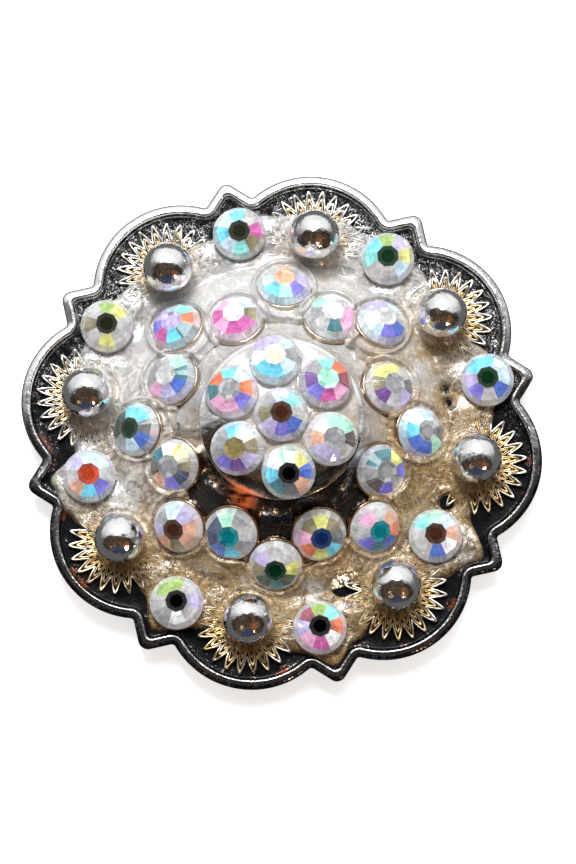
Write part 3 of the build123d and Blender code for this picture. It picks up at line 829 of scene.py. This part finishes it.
class CONCHO_OT_stage(bpy.types.Operator):
    """Lays a pale floor, sets soft lights round it and stands the camera over the concho"""

    bl_idname = "concho.stage"
    bl_label = "Stage, lights and camera"

    def execute(self, context):
        for step in (self.floor, self.sky, self.lamps, self.camera):
            step(context.scene)
        return {"FINISHED"}

    def floor(self, scene):
        """A wide sheet that the concho lies on, pale to the camera and dim to what mirrors it."""
        mesh = bpy.data.meshes.new("floor")
        half = FLOOR_HALF
        corners = [(-half, -half, 0), (half, -half, 0), (half, half, 0), (-half, half, 0)]
        mesh.from_pydata(corners, [], [(0, 1, 2, 3)])
        material, tree = new_material("Pale floor")
        seen_straight = tree.nodes.new("ShaderNodeLightPath").outputs["Is Camera Ray"]
        set_shader(tree, {
            "Base Color": blend(tree, seen_straight, (0.10, 0.10, 0.10), (0.86, 0.86, 0.86)),
            "Roughness": 0.9,
            "Specular IOR Level": 0.1,
            "Emission Color": (1, 1, 1),
            "Emission Strength": calculate(tree, "MULTIPLY", seen_straight, 0.7),
        })
        mesh.materials.append(material)
        floor = bpy.data.objects.new("floor", mesh)
        scene.collection.objects.link(floor)

    def sky(self, scene):
        """A soft room: bright on the uppermost side, and dark with brown and navy on the other."""
        world = bpy.data.worlds.new("Studio")
        world.use_nodes = True
        scene.world = world
        tree = world.node_tree
        way = tree.nodes.new("ShaderNodeTexCoord").outputs["Generated"]
        colour = ROOM_COLOUR
        for turned, elevation, outer, inner, grain, shade in SKY_PATCHES:
            share = self.patch(tree, way, turned, elevation, outer, inner)
            if grain:
                lumps = noise(tree, way, grain, 3.0, 0.6)
                share = calculate(tree, "MULTIPLY", share, spread(tree, lumps, 0.55, 0.64))
            colour = blend(tree, share, colour, shade)
        tree.links.new(colour, tree.nodes["Background"].inputs["Color"])

    def patch(self, tree, way, turned, elevation, outer, inner):
        """The share of a round patch of the sky, soft between two angles from its middle."""
        dot = tree.nodes.new("ShaderNodeVectorMath")
        dot.operation = "DOT_PRODUCT"
        tree.links.new(way, dot.inputs[0])
        dot.inputs[1].default_value = tuple(aloft(turned, elevation))
        edge = math.cos(math.radians(outer)), math.cos(math.radians(inner))
        return spread(tree, dot.outputs["Value"], *edge)

    def lamps(self, scene):
        """A soft box and a smaller lamp on the uppermost side, and a small warm one on the other."""
        for name, turned, elevation, distance, size, power, colour in LAMPS:
            lamp = bpy.data.lights.new(name, "AREA")
            lamp.shape = "DISK"
            lamp.size = size
            lamp.energy = power
            lamp.color = colour
            self.hang(scene, name, lamp, aloft(turned, elevation), distance, 0)

    def hang(self, scene, name, thing, way, distance, height):
        """Hangs a lamp or a camera out along a direction, looking back."""
        holder = bpy.data.objects.new(name, thing)
        holder.location = way * distance + np.array([0, 0, height])
        holder.rotation_euler = Vector(way).to_track_quat("Z", "Y").to_euler()
        scene.collection.objects.link(holder)
        return holder

    def camera(self, scene):
        """The photograph's own view, with the frame moved so that the aim lies where it does there."""
        camera = bpy.data.cameras.new("camera")
        camera.sensor_fit = "HORIZONTAL"
        camera.sensor_width = SENSOR_WIDTH
        width, height = PHOTO_SIZE
        camera.lens = PHOTO_PIXELS_PER_MM / MM * CAMERA_DISTANCE * SENSOR_WIDTH / width
        camera.shift_x = (width / 2 - PHOTO_AIM[0]) / width
        camera.shift_y = (PHOTO_AIM[1] - height / 2) / width
        camera.clip_start = 0.01
        azimuth, elevation = math.radians(CAMERA_AZIMUTH), math.radians(CAMERA_ELEVATION)
        flat = np.array([math.sin(azimuth), -math.cos(azimuth)]) * math.cos(elevation)
        way = np.array([*flat, math.sin(elevation)])
        scene.camera = self.hang(scene, "camera", camera, way, CAMERA_DISTANCE, CAMERA_AIM_HEIGHT)
        scene.view_settings.view_transform = "Standard"


class CONCHO_OT_plate(bpy.types.Operator):
    """Casts the plate: its rim, sunk floor and back, and the dome on it"""

    bl_idname = "concho.plate"
    bl_label = "Plate and dome"

    def execute(self, context):
        scene = context.scene
        for cast in (self.rim, self.dome):
            cast(scene.concho_plate, scene.concho_dome, scene.concho_finishes)
        return {"FINISHED"}

    def rim(self, plate, dome, finishes):
        """The outline moved inward on a closed path: outside, over the roll, over the floor and back.

        Each row of points is the outline at one inset and one height. Across the floor and behind it,
        the rows pass evenly from the outline to a circle. The roll is bright on the uppermost side but
        for a painted dark outer line, and painted dark as shade on the other side and on the right;
        there its inner side has a painted red reflection in places."""
        shoulder, rounding, slope = 0.36 * MM, 0.12 * MM, plate.rim_slope
        rise = np.linspace(0.1, 1, 8)
        lean = plate.tuck * (1 - rise) ** 1.5
        wall = np.stack([lean, rise * (plate.rim_height - shoulder)], axis=-1)
        foot = arc(wall[0] + [rounding, 0], rounding, 240, 190, 4)
        bevel = unit(np.radians(np.linspace(172, 90, 13))) * [plate.rim_crest, shoulder]
        bevel = bevel + [plate.rim_crest, plate.rim_height - shoulder]
        inner = plate.rim_width - plate.rim_crest
        brow = arc((plate.rim_crest, plate.rim_height - inner), inner, 75, 0, 6)
        hollow = arc((plate.rim_width + slope, plate.floor_height + slope), slope, 190, 270, 7)
        path = np.concatenate([foot, wall, bevel, brow, hollow])
        rings = [raised(outline(inset, plate), height) for inset, height in path]
        turn = np.arctan2(rings[0][:, 1], rings[0][:, 0])
        floor_edge, back_edge = outline(path[-1][0], plate), outline(plate.back_rim, plate)
        circle = unit(np.arctan2(floor_edge[:, 1], floor_edge[:, 0]))
        core = dome.foot_radius - 0.8 * MM
        for share in np.linspace(0, 1, FLOOR_ROWS + 1)[1:]:
            ring = floor_edge * (1 - share) + circle * core * share
            rings.append(raised(ring, plate.floor_height))
        for height in (plate.floor_height - BURIED, plate.back_hollow):
            rings.append(raised(circle * dome.cavity_radius, height))
        for share in np.linspace(0, 1, BACK_ROWS + 1)[1:]:
            ring = circle * dome.cavity_radius * (1 - share) + back_edge * share
            rings.append(raised(ring, plate.back_hollow))
        rings.append(raised(back_edge, 0))

        # Painted shade: darker on the side away from the uppermost one and on the roll's right, with
        # fewer bright specks on the floor there, and a painted red reflection in places on that side
        low = smooth_step(-unit(turn) @ toward(), -0.45, 0.3)
        right = smooth_step(unit(turn) @ toward(-90), 0.1, 0.8)
        red = low * smooth_step(ripple(unit(turn) * 18, 2.6, 12), 0.1, 0.7)
        roll = slice(len(foot) + len(wall), len(path) - len(hollow))
        over = np.arange(len(bevel) + len(brow))
        lit, dark = np.full(len(path), 1.3), np.full(len(path), 1.7)
        lit[roll], dark[roll] = np.interp(over, *ROLL_LIT), np.interp(over, *ROLL_DARK)
        lit[-len(hollow):], dark[-len(hollow):] = np.linspace(0.45, 1.0, len(hollow)), 1.6
        blacking_and_painted_shade, warmth = np.zeros((2, len(rings), len(turn)))
        blacking_and_painted_shade[:len(path)] = lit[:, None] * (1 - low) + dark[:, None] * low
        blacking_and_painted_shade[roll] += 0.45 * right * (1 - low)
        reddish = slice(len(path) - REDDISH_ROWS, len(path))
        blacking_and_painted_shade[reddish] -= 0.75 * red
        blacking_and_painted_shade[len(path):len(path) + FLOOR_ROWS] = 1.0 + low
        warmth[reddish] = red
        mesh = ring_mesh("cast_rim", np.stack(rings), closed=True)
        paint(mesh, "blacking_and_painted_shade", blacking_and_painted_shade)
        paint(mesh, "warmth", warmth)
        mesh.set_sharp_from_angle(angle=SHARP_EDGE)
        material = metal_material(
            "Plated rim", finishes, finishes.painted_red_reflection, wave_depth=0.04, dull=0.11, mirror_loss=0.7
        )
        add_casting("cast_rim", mesh, material)

    def dome(self, plate, dome, finishes):
        """A profile carried round the axis: socket, ceiling, cavity, collar, wall and cap.

        Its lower side is painted dark as shade, least on the cap's rolled edge, and a painted red
        reflection glows on it in one place."""
        centre, radius = collar_arc(dome, plate)
        below = plate.floor_height - BURIED
        start = math.degrees(math.atan2(plate.floor_height - centre[1], dome.collar_radius - centre[0]))
        end = math.degrees(math.atan2(dome.foot_height - centre[1], dome.foot_radius - centre[0]))
        wall_top = dome.cap_edge_height - dome.cap_edge_thickness
        ball = cap_ball(dome)
        top = dome.cap_edge_height + dome.cap_rise
        cap_turn = math.degrees(math.asin(dome.cap_radius / ball))
        rounding, lower_roll, upper_roll = dome.cavity_rounding, 0.08 * MM, 0.1 * MM
        socket = post_socket()
        profile = np.concatenate([
            [[0.02 * MM, socket[1]], socket, [socket[0], dome.cavity_height]],
            arc((dome.cavity_radius - rounding, dome.cavity_height - rounding), rounding, 90, 0, 8),
            [[dome.cavity_radius, below], [dome.collar_radius, below]],
            arc(centre, radius, start, end, 40),
            wall_curve(dome)[1:],
            [[dome.cap_radius - 0.05 * MM, wall_top]],
            arc((dome.cap_radius - lower_roll, wall_top + lower_roll), lower_roll, -80, 0, 4),
            arc((dome.cap_radius - upper_roll, dome.cap_edge_height - upper_roll), upper_roll, 0, 80, 5),
            arc((0, top - ball), ball, 90 - cap_turn + 1.2, 89.8, 24),
        ])
        rings = turned_rings(profile, DOME_COLUMNS)
        wave = ripple(rings[..., :2], 2.6 * MM, 3) * smooth_step(rings[..., 2], below, dome.foot_height)
        rings[..., 2] += 0.035 * MM * wave
        turn = full_turn(DOME_COLUMNS)
        # Painted shade on the lower side of the collar and wall, and a painted red reflection that glows
        low = smooth_step(-unit(turn) @ toward(), 0.2, 0.6)
        out, high = profile[:, :1] / MM, profile[:, 1:] / MM
        black = low * smooth_step(high, 3.0, 3.9) * smooth_step(out, 4.7, 5.2)
        black = black * np.where((out > 5.83) & (high > 7.15), 0.4, 0.97)
        glow = bell(np.degrees(turn), *RED_GLOW)
        glow = glow * smooth_step(out, 5.4, 5.8) * (1 - smooth_step(out, 6.4, 7.2)) * (high > 3.6)
        uneven = smooth_step(ripple(rings, 1.1 * MM, 17), -0.9, 0.3)
        mesh = ring_mesh("cast_dome", rings)
        paint(mesh, "blacking_and_painted_shade", black - 0.85 * glow * uneven)
        paint(mesh, "warmth", glow)
        mesh.set_sharp_from_angle(angle=SHARP_EDGE)
        material = metal_material(
            "Plated dome", finishes, finishes.painted_red_reflection, wave_depth=0.05, dull=0.03, mirror_loss=0.8, glow=0.9
        )
        add_casting("cast_dome", mesh, material)


def post_socket():
    """Radius and height of the socket over the post, just outside the post itself."""
    low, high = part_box("screw_post")
    return [(high[0] - low[0]) / 2 + 0.05 * MM, high[2] + 0.01 * MM]


class CONCHO_OT_sunbursts(bpy.types.Operator):
    """Raises a zigzag of four nested crests round each berry"""

    bl_idname = "concho.sunbursts"
    bl_label = "Zigzag sunbursts"

    def execute(self, context):
        """The distance from the berry is the tooth's tip less a triangle wave less the way across.

        The triangle wave is the arc cosine of a cosine, slightly flattened so that its tips are round.
        The way across runs over the crests, each the root of one less a sixth power, and the
        blackened gaps between them. Where the line is steep a crest is wider that way, by the fourth
        root of one and the slope's square, so that its line stays thick."""
        scene = context.scene
        plate, relief, finishes = scene.concho_plate, scene.concho_relief, scene.concho_finishes
        middles, halves, tops = np.array(CRESTS).T[..., None]
        share = np.linspace(-1, 1, 7)
        heights = (CREST_GAP + (tops - CREST_GAP) * np.sqrt(1 - share ** 6)).ravel()
        bare = np.tile(np.clip(2.5 * (1 - share ** 6), 0, 1), len(CRESTS))
        bottom = plate.floor_height - BURIED
        turn = full_turn(relief.teeth * TOOTH_COLUMNS)
        wave = np.arccos(0.90 * np.cos(relief.teeth * turn)) / math.pi
        reach = relief.burst_radius - wave * relief.tooth_length
        climb = np.gradient(reach, turn[1]) / (relief.burst_radius - relief.tooth_length / 2)
        across = middles[..., None] + halves[..., None] * share[:, None] * (1 + climb ** 2) ** 0.25
        across = across.reshape(-1, len(turn)) * MM
        material = metal_material(
            "Plated relief", finishes, finishes.brass_and_painted_reflection, wave_depth=0.03, dull=0.22
        )
        for number, (bearing, middle) in enumerate(berry_places(plate, relief)):
            around = unit(turn + bearing)
            flat = middle + around[None] * (reach - across)[..., None]
            unevenness = 1 + 0.12 * ripple(flat, 1.1 * MM, 30 + number)
            rings = raised(flat, plate.floor_height + heights[:, None] * MM * unevenness)
            rings = np.concatenate([raised(flat[:1], bottom), rings, raised(flat[-1:], bottom)])
            name = f"sunburst_{number + 1}"
            mesh = ring_mesh(name, rings, closed=True)
            mottle = 0.72 + 0.4 * ripple(rings, 0.7 * MM, 50 + number)
            black = 1 - np.concatenate([[0], bare, [0]])[:, None] * np.clip(mottle, 0.3, 1)
            paint(mesh, "blacking_and_painted_shade", black)
            # Warmth: golden towards the berry, and a painted warm reflection on the lower right, over
            # the inner crests and on the side of each burst that faces away from the uppermost side, in
            # patches
            inward = np.linspace(0, 1, len(rings))[:, None]
            below = smooth_step(around @ toward(150), -0.2, 0.8)
            painted_warm_reflection = 0.6 * warm_side(rings) * np.maximum(smooth_step(inward, 0.1, 0.35), below)
            painted_warm_reflection += 0.3 * ripple(rings, 1.3 * MM, 70 + number)
            paint(mesh, "warmth", np.clip(1.3 * inward + painted_warm_reflection - 0.05, 0, 1))
            add_casting(name, mesh, material)
        return {"FINISHED"}


class CONCHO_OT_berries(bpy.types.Operator):
    """Sets a polished ball on a short neck in the middle of each sunburst"""

    bl_idname = "concho.berries"
    bl_label = "Berries"

    def execute(self, context):
        """A neck that flares a little to its foot, then a sphere, each a profile carried round."""
        scene = context.scene
        plate, relief, finishes = scene.concho_plate, scene.concho_relief, scene.concho_finishes
        ball, foot = relief.berry_radius, plate.floor_height - 0.1 * MM
        profile = np.concatenate([
            [[1.05 * ball, foot], [1.03 * ball, foot + 0.5 * MM], [1.005 * ball, foot + 1.2 * MM]],
            arc((0, relief.berry_height), ball, -10, 89, 40),
        ])
        material = metal_material(
            "Plated berry", finishes, finishes.brass_and_painted_reflection, wave_depth=0.13, dull=0.03
        )
        for number, (_, middle) in enumerate(berry_places(plate, relief)):
            rings = turned_rings(profile, BERRY_COLUMNS)
            rings = rings * (1 + 0.004 * ripple(rings, 1.7 * MM, number)[..., None])
            rings[..., :2] += middle
            name = f"berry_{number + 1}"
            add_casting(name, ring_mesh(name, rings), material)
        return {"FINISHED"}


class CONCHO_OT_cups(bpy.types.Operator):
    """Rings each stone of the slope with the thin wall of its cup"""

    bl_idname = "concho.cups"
    bl_label = "Cups and seats"

    def execute(self, context):
        """A wall's round-topped section carried round each stone's axis."""
        stones, finishes = context.scene.concho_stones, context.scene.concho_finishes
        inner, half = stones.radius + CUP_CLEARANCE, stones.cup_wall / 2
        outer = inner + stones.cup_wall
        section = np.concatenate([
            [[inner, -stones.cup_root], [outer, -stones.cup_root]],
            arc((inner + half, stones.cup_height - half), half, 0, 180, 9),
        ])
        material = metal_material(
            "Brown cup", finishes, finishes.bronze, wave_depth=0.02, dull=0.06
        )
        for ring in ("outer", "inner"):
            meshes = []
            for place_of in stone_places(f"mid_{ring}", stones):
                rings = set_on(turned_rings(section, CUP_COLUMNS), *place_of[:3])
                mesh = ring_mesh("cup", rings, closed=True)
                paint(mesh, "warmth", 0.55 + 0.45 * warm_side(rings))
                meshes.append(mesh)
            add_casting(f"{ring}_cups", joined_mesh(f"{ring}_cups", meshes), material)
        return {"FINISHED"}


class CONCHO_OT_stones(bpy.types.Operator):
    """Cuts the flat-back stones, each with its table, main facets and rows of small ones"""

    bl_idname = "concho.stones"
    bl_label = "Cut stones"

    def execute(self, context):
        stones = context.scene.concho_stones
        material = stone_material()
        for ring, cuts in STONES.items():
            for number, (turn, colours) in enumerate(cuts):
                self.stone(f"{ring}_crystal_{number + 1}", turn, colours.split(), stones, material)
        return {"FINISHED"}

    def stone(self, node, turn, colours, stones, material):
        """Rings from the back up to the table, with seven corners to each of eight main facets.

        The main facets run from the table's corners to the break, where the crown turns steeper, and
        below it the small facets reach the round girdle. Thin strips part the main facets."""
        foot, axis, downhill, bearing = stone_place(node, stones)
        corners = np.array([HALF_STRIP - 22.5, -15, -7.5, 0, 7.5, 15, 22.5 - HALF_STRIP])
        columns = (corners[None] + np.arange(8)[:, None] * 45).ravel()
        around = np.radians(columns)
        low, high = stones.girdle, stones.girdle + stones.crown
        brink_height = low + (high - low) * 0.52
        eight = np.cos(math.pi / 8) / np.cos((around + math.pi / 8) % (math.pi / 4) - math.pi / 8)
        brink = stones.cut_radius * stones.break_share * (0.35 + 0.65 * eight) / eight.min()
        table = stones.cut_radius * stones.table_share * eight / eight.max()
        full, chamfer = np.ones(len(around)), 0.03 * MM
        rows = [
            (full * (stones.cut_radius - chamfer), 0.0),
            (full * stones.cut_radius, chamfer),
            (full * stones.cut_radius, low),
        ]
        for share in (0.0, 0.3, 0.65, 1.0):
            height = brink_height * (1 - share) + high * share
            rows.append((brink * (1 - share) + table * share, height))
        rows += [(table * 0.93, high), (table * 0.6, high)]
        rings = np.stack([raised(unit(around) * radii[:, None], height) for radii, height in rows])
        spin = math.radians(UPPERMOST - 90 + turn) - bearing
        spun = rings.copy()
        spun[..., 0] = rings[..., 0] * math.cos(spin) - rings[..., 1] * math.sin(spin)
        spun[..., 1] = rings[..., 0] * math.sin(spin) + rings[..., 1] * math.cos(spin)
        mesh = ring_mesh(node, set_on(spun, foot, axis, downhill))
        self.colour(mesh, colours, columns + turn, len(rows), int(turn) + len(node))
        add_piece(f"{node}_cut", mesh, material, [node], smooth=False)

    def colour(self, mesh, colours, columns, rows, seed):
        """Gives each face its colour: the girdle, the small facets, the main facets and the table, the
        charted colours being the foil's tints and painted reflections of the room.

        Each main facet has painted shade, darker towards the table on one side and towards the brink on
        the other."""
        draw = np.random.default_rng(seed)
        table = seen(PALETTE[colours[0]])
        shades = np.array([seen(PALETTE[name]) for name in colours[1:]])
        shades = shades * 0.86 + seen((0.80, 0.81, 0.82)) * 0.14
        pale = seen((0.76, 0.76, 0.77))
        count = len(columns)
        facet = np.floor((columns + 22.5 + 0.05) / 45).astype(int) % 8
        half = np.floor(columns / 22.5).astype(int) % 16
        # Painted highlights: the thin strips between the main facets are lighter
        between = (np.arange(count) % 7 == 6)[:, None]
        small = pale * draw.uniform(0.70, 1.15, (16, 1)) * draw.uniform(0.93, 1.07, (16, 3))
        # Painted shade across each main facet, and a painted glint of its own brightness on each part of
        # the table
        slope = draw.uniform(-0.4, 0.3, 8)[facet][:, None]
        glint = draw.uniform(0.55, 1.7, 8)[facet][:, None]
        by_row = [np.tile(pale * share, (count, 1)) for share in (0.6, 0.8)]
        by_row.append(np.where(between, pale * 1.25, small[half] * 0.7 + shades[facet] * 0.3))
        for share in (-0.5, 0.0, 0.6):
            main = shades[facet] * np.clip(1 + slope * share, 0.4, 1.5)
            by_row.append(np.where(between, shades[facet] * 0.75 + 0.14, main))
        by_row.append(np.tile(table * 0.6 + 0.12, (count, 1)))
        by_row.append(table * glint + 0.02)
        colour = np.concatenate([np.stack(by_row).reshape(-1, 3), pale[None], table[None]])
        counts = np.concatenate([np.full(count * (rows - 1), 4), [count, count]])
        loops = np.repeat(np.clip(colour, 0, 1), counts, axis=0)
        loops = np.concatenate([loops, np.ones((len(loops), 1))], axis=1)
        layer = mesh.attributes.new("facet", "FLOAT_COLOR", "CORNER")
        layer.data.foreach_set("color", loops.astype(np.float32).ravel())


class CONCHO_OT_glue(bpy.types.Operator):
    """Pours clear glue round the stones of the slope and over the sunbursts' inner halves"""

    bl_idname = "concho.glue"
    bl_label = "Clear glue"

    def execute(self, context):
        self.poured(context.scene)
        self.film(context.scene)
        return {"FINISHED"}

    def poured(self, scene):
        """A sheet in rings round the axis: the slope's height and a thickness that ends in a round edge.

        The thickness follows the distance to the charted reach and to the bare places, rises beside
        the berries and the cups, and dives into the metal where there is no glue."""
        plate, dome, relief = scene.concho_plate, scene.concho_dome, scene.concho_relief
        stones = scene.concho_stones
        turn = full_turn(POURED_COLUMNS)
        chart = np.array(GLUE_REACH)
        spot = turn / (2 * math.pi) * len(chart)
        index = np.floor(spot).astype(int)
        near = smooth_step(spot - index, 0, 1)
        reach = chart[index] * (1 - near) + chart[(index + 1) % len(chart)] * near
        reach = (reach + 0.12 * ripple(unit(turn) * 14, 1.5, 5)) * MM
        start = np.interp(turn, np.arange(25) * math.pi / 12, GLUE_START + GLUE_START[:1]) * MM
        start = start + 0.15 * MM * ripple(unit(turn) * 9, 1.2, 6)
        first = start - 0.3 * MM
        radii = first + np.linspace(0, 1, POURED_ROWS)[:, None] * (reach + 0.25 * MM - first)
        flat = unit(turn)[None] * radii[..., None]
        inside = np.minimum(reach - radii, radii - start) / MM
        warmth = warm_side(flat)
        for degrees, distance, size, warmer in GLUE_CLOUDS:
            cloud = distance * MM * unit(np.radians(degrees))
            warmth = warmth + warmer * bell(away(flat, cloud), 0, size)
        for degrees, distance, size in GLUE_HOLES:
            hole = distance * MM * unit(np.radians(degrees))
            inside = np.minimum(inside, away(flat, hole) - size)
        share = np.clip(inside / POURED_EDGE, 0, 1)
        edge = np.sqrt(1 - (1 - share) ** 2)
        thick = POURED_THICKNESS + 0.12 * ripple(flat, 2.2 * MM, 9)
        depth, covered = np.ones((2, *thick.shape))
        for _, middle in berry_places(plate, relief):
            gap = (np.linalg.norm(flat - middle, axis=-1) - relief.berry_radius) / MM
            above = smooth_step((flat - middle) @ toward(), 0, 1.5 * MM)
            thick += BERRY_CLIMB * np.exp(-np.clip(gap, 0, 9) / 0.45)
            span = np.linalg.norm(middle)
            inner = smooth_step(span - flat @ middle / span, 0, 1.6 * MM)
            clear = smooth_step(gap, 0.9, 2.6) + 0.45 * above * (1 - warmth) + 0.9 * inner
            depth = np.minimum(depth, clear)
            thick += 0.25 * above * bell(gap, 0.7, 0.13)
        calm = smooth_step(flat @ toward(), -1 * MM, 6 * MM)
        calm = calm * (1 - 0.4 * smooth_step(radii, 12 * MM, 13.5 * MM))
        for place_of in stone_places("mid_outer", stones) + stone_places("mid_inner", stones):
            gap = away(flat, place_of[0][:2])
            covered *= smooth_step(gap, 1.5, 1.8)
            thick += (CUP_ROLL + 0.2 * calm) * bell(gap, 2.3, 0.14)
        base = collar_top(radii, dome, plate)
        top = base + (thick * edge * covered - GLUE_DIVE * (inside < 0.02)) * MM
        bottom = np.minimum(base - 0.25 * MM, top - 0.02 * MM)
        values = {"warmth": warmth, "depth": depth, "calm": calm}
        mesh = self.sheet("poured_glue", flat, top, bottom, POURED_ROWS_BELOW, values)
        material = glue_material(
            "Clear glue", scene.concho_finishes, 0.75 * MM, streaky=0.9, lumpy=0.7, milky=0.35
        )
        add_piece("poured_glue", mesh, material, ["clear_glue"])

    def film(self, scene):
        """A sheet over the cap and, on the uppermost side, over the dome's wall down to the slope.

        Its height is the cap's, then the square of the way left to the slope, like a web between
        two strands. Away from that side and over the stones of the slope it dives into the metal."""
        plate, dome, stones = scene.concho_plate, scene.concho_dome, scene.concho_stones
        turn = full_turn(FILM_COLUMNS)
        radii = np.linspace(0.4 * MM, 9.0 * MM, FILM_ROWS)[:, None]
        flat = unit(turn)[None] * radii[..., None]
        brow, shore = dome.cap_radius - 0.35 * MM, 8.7 * MM
        left = 1 - np.clip((radii - brow) / (shore - brow), 0, 1)
        low = collar_top(np.array(shore), dome, plate)
        web = low + (cap_top(np.array(brow), dome) - low) * left ** 2
        web = np.where(radii < brow, cap_top(radii, dome), web) + np.zeros(len(turn))
        wall = wall_curve(dome)[::-1]
        metal = np.interp(radii, wall[:, 0], wall[:, 1])
        metal = np.where(radii < dome.wall_radius, cap_top(radii, dome), metal)
        metal = np.where(radii > dome.foot_radius, collar_top(radii, dome, plate), metal)
        thick = FILM_THICKNESS + 0.05 * ripple(flat, 1.8 * MM, 21)
        rise = np.zeros(thick.shape)
        for place_of in stone_places("centre", stones):
            rise = np.maximum(rise, SEAT_ROLL * bell(away(flat, place_of[0][:2]), 1.9, 0.16))
        share = smooth_step(unit(turn) @ toward(-14), -0.35, 0.05)
        share = np.maximum(share, 1 - smooth_step(radii, 3.4 * MM, 4.6 * MM))
        share = share * (1 - smooth_step(radii, 8.2 * MM, 8.9 * MM))
        for place_of in stone_places("mid_inner", stones):
            share = share * smooth_step(away(flat, place_of[0][:2]), 1.75, 2.1)
        sunk = metal - GLUE_DIVE * MM
        top = sunk + share * (web + (thick + rise) * MM - sunk)
        bottom = np.minimum(metal - 0.3 * MM, top - 0.03 * MM)
        even = np.ones(top.shape)
        values = {"warmth": 0.5 * warm_side(flat), "depth": 0.75 * even, "calm": 0.3 * even}
        mesh = self.sheet("dome_glue", flat, top, bottom, FILM_ROWS_BELOW, values)
        material = glue_material(
            "Glassy glue", scene.concho_finishes, 1.5 * MM, streaky=0.75, lumpy=0.35, milky=0.7
        )
        add_piece("dome_glue", mesh, material, ["clear_glue"])

    def sheet(self, name, flat, top, bottom, rows_below, values):
        """The closed mesh of a sheet, fine on top and with fewer rows below, with its attributes."""
        few = np.unique(np.linspace(0, len(flat) - 1, rows_below).astype(int))
        rings = np.concatenate([raised(flat[::-1], top[::-1]), raised(flat[few], bottom[few])])
        mesh = ring_mesh(name, rings, closed=True)
        for kind, value in values.items():
            paint(mesh, kind, np.concatenate([value[::-1], value[few]]))
        return mesh


class CONCHO_OT_post(bpy.types.Operator):
    """Gives the post behind its turned steel"""

    bl_idname = "concho.post"
    bl_label = "Screw post"

    def execute(self, context):
        """Fine lines round the post, from noise that is stretched across its axis."""
        material, tree = new_material("Turned steel")
        stretch = tree.nodes.new("ShaderNodeMapping")
        stretch.inputs["Scale"].default_value = (0.2, 0.2, 6.0)
        tree.links.new(place(tree), stretch.inputs["Vector"])
        lines = noise(tree, stretch.outputs["Vector"], 0.5 * MM, 3.0)
        steel = tuple(context.scene.concho_finishes.steel)
        darker = tuple(0.7 * part for part in steel)
        set_shader(tree, {
            "Base Color": blend(tree, spread(tree, lines, 0.3, 0.7), steel, darker),
            "Roughness": spread(tree, lines, 0.3, 0.7, 0.25, 0.4),
            "Normal": bump(tree, lines, 0.01 * MM, 0.6),
            "Metallic": 1.0,
        })
        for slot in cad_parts["screw_post"].material_slots:
            slot.material = material
        return {"FINISHED"}


class CONCHO_PT_panel(bpy.types.Panel):
    """Lists the steps that build the concho, in order"""

    bl_idname = "CONCHO_PT_panel"
    bl_label = "Concho"
    bl_space_type = "VIEW_3D"
    bl_region_type = "UI"
    bl_category = "Concho"

    def draw(self, context):
        for step in STEPS:
            self.layout.operator(step.bl_idname)
        for group in ("plate", "relief", "dome", "stones", "finishes"):
            sizes = getattr(context.scene, f"concho_{group}")
            box = self.layout.box()
            for name in sizes.bl_rna.properties.keys():
                if name not in ("rna_type", "name"):
                    box.prop(sizes, name)


GROUPS = {
    "concho_plate": PlateSizes,
    "concho_relief": ReliefSizes,
    "concho_dome": DomeSizes,
    "concho_stones": StoneSizes,
    "concho_finishes": Finishes,
}
STEPS = (
    CONCHO_OT_stage,
    CONCHO_OT_plate,
    CONCHO_OT_sunbursts,
    CONCHO_OT_berries,
    CONCHO_OT_cups,
    CONCHO_OT_stones,
    CONCHO_OT_glue,
    CONCHO_OT_post,
)


def register():
    """Registers the classes and hangs the groups of sizes on the scene."""
    for group in (*GROUPS.values(), *STEPS, CONCHO_PT_panel):
        bpy.utils.register_class(group)
    for name, group in GROUPS.items():
        setattr(bpy.types.Scene, name, bpy.props.PointerProperty(type=group))


def unregister():
    """Takes the groups of sizes off the scene and removes the classes."""
    for name in GROUPS:
        delattr(bpy.types.Scene, name)
    for group in reversed((*GROUPS.values(), *STEPS, CONCHO_PT_panel)):
        bpy.utils.unregister_class(group)


def main():
    """Builds every piece in order."""
    register()
    for step in STEPS:
        package, name = step.bl_idname.split(".")
        getattr(getattr(bpy.ops, package), name)()
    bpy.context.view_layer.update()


if __name__ == "__main__":
    main()
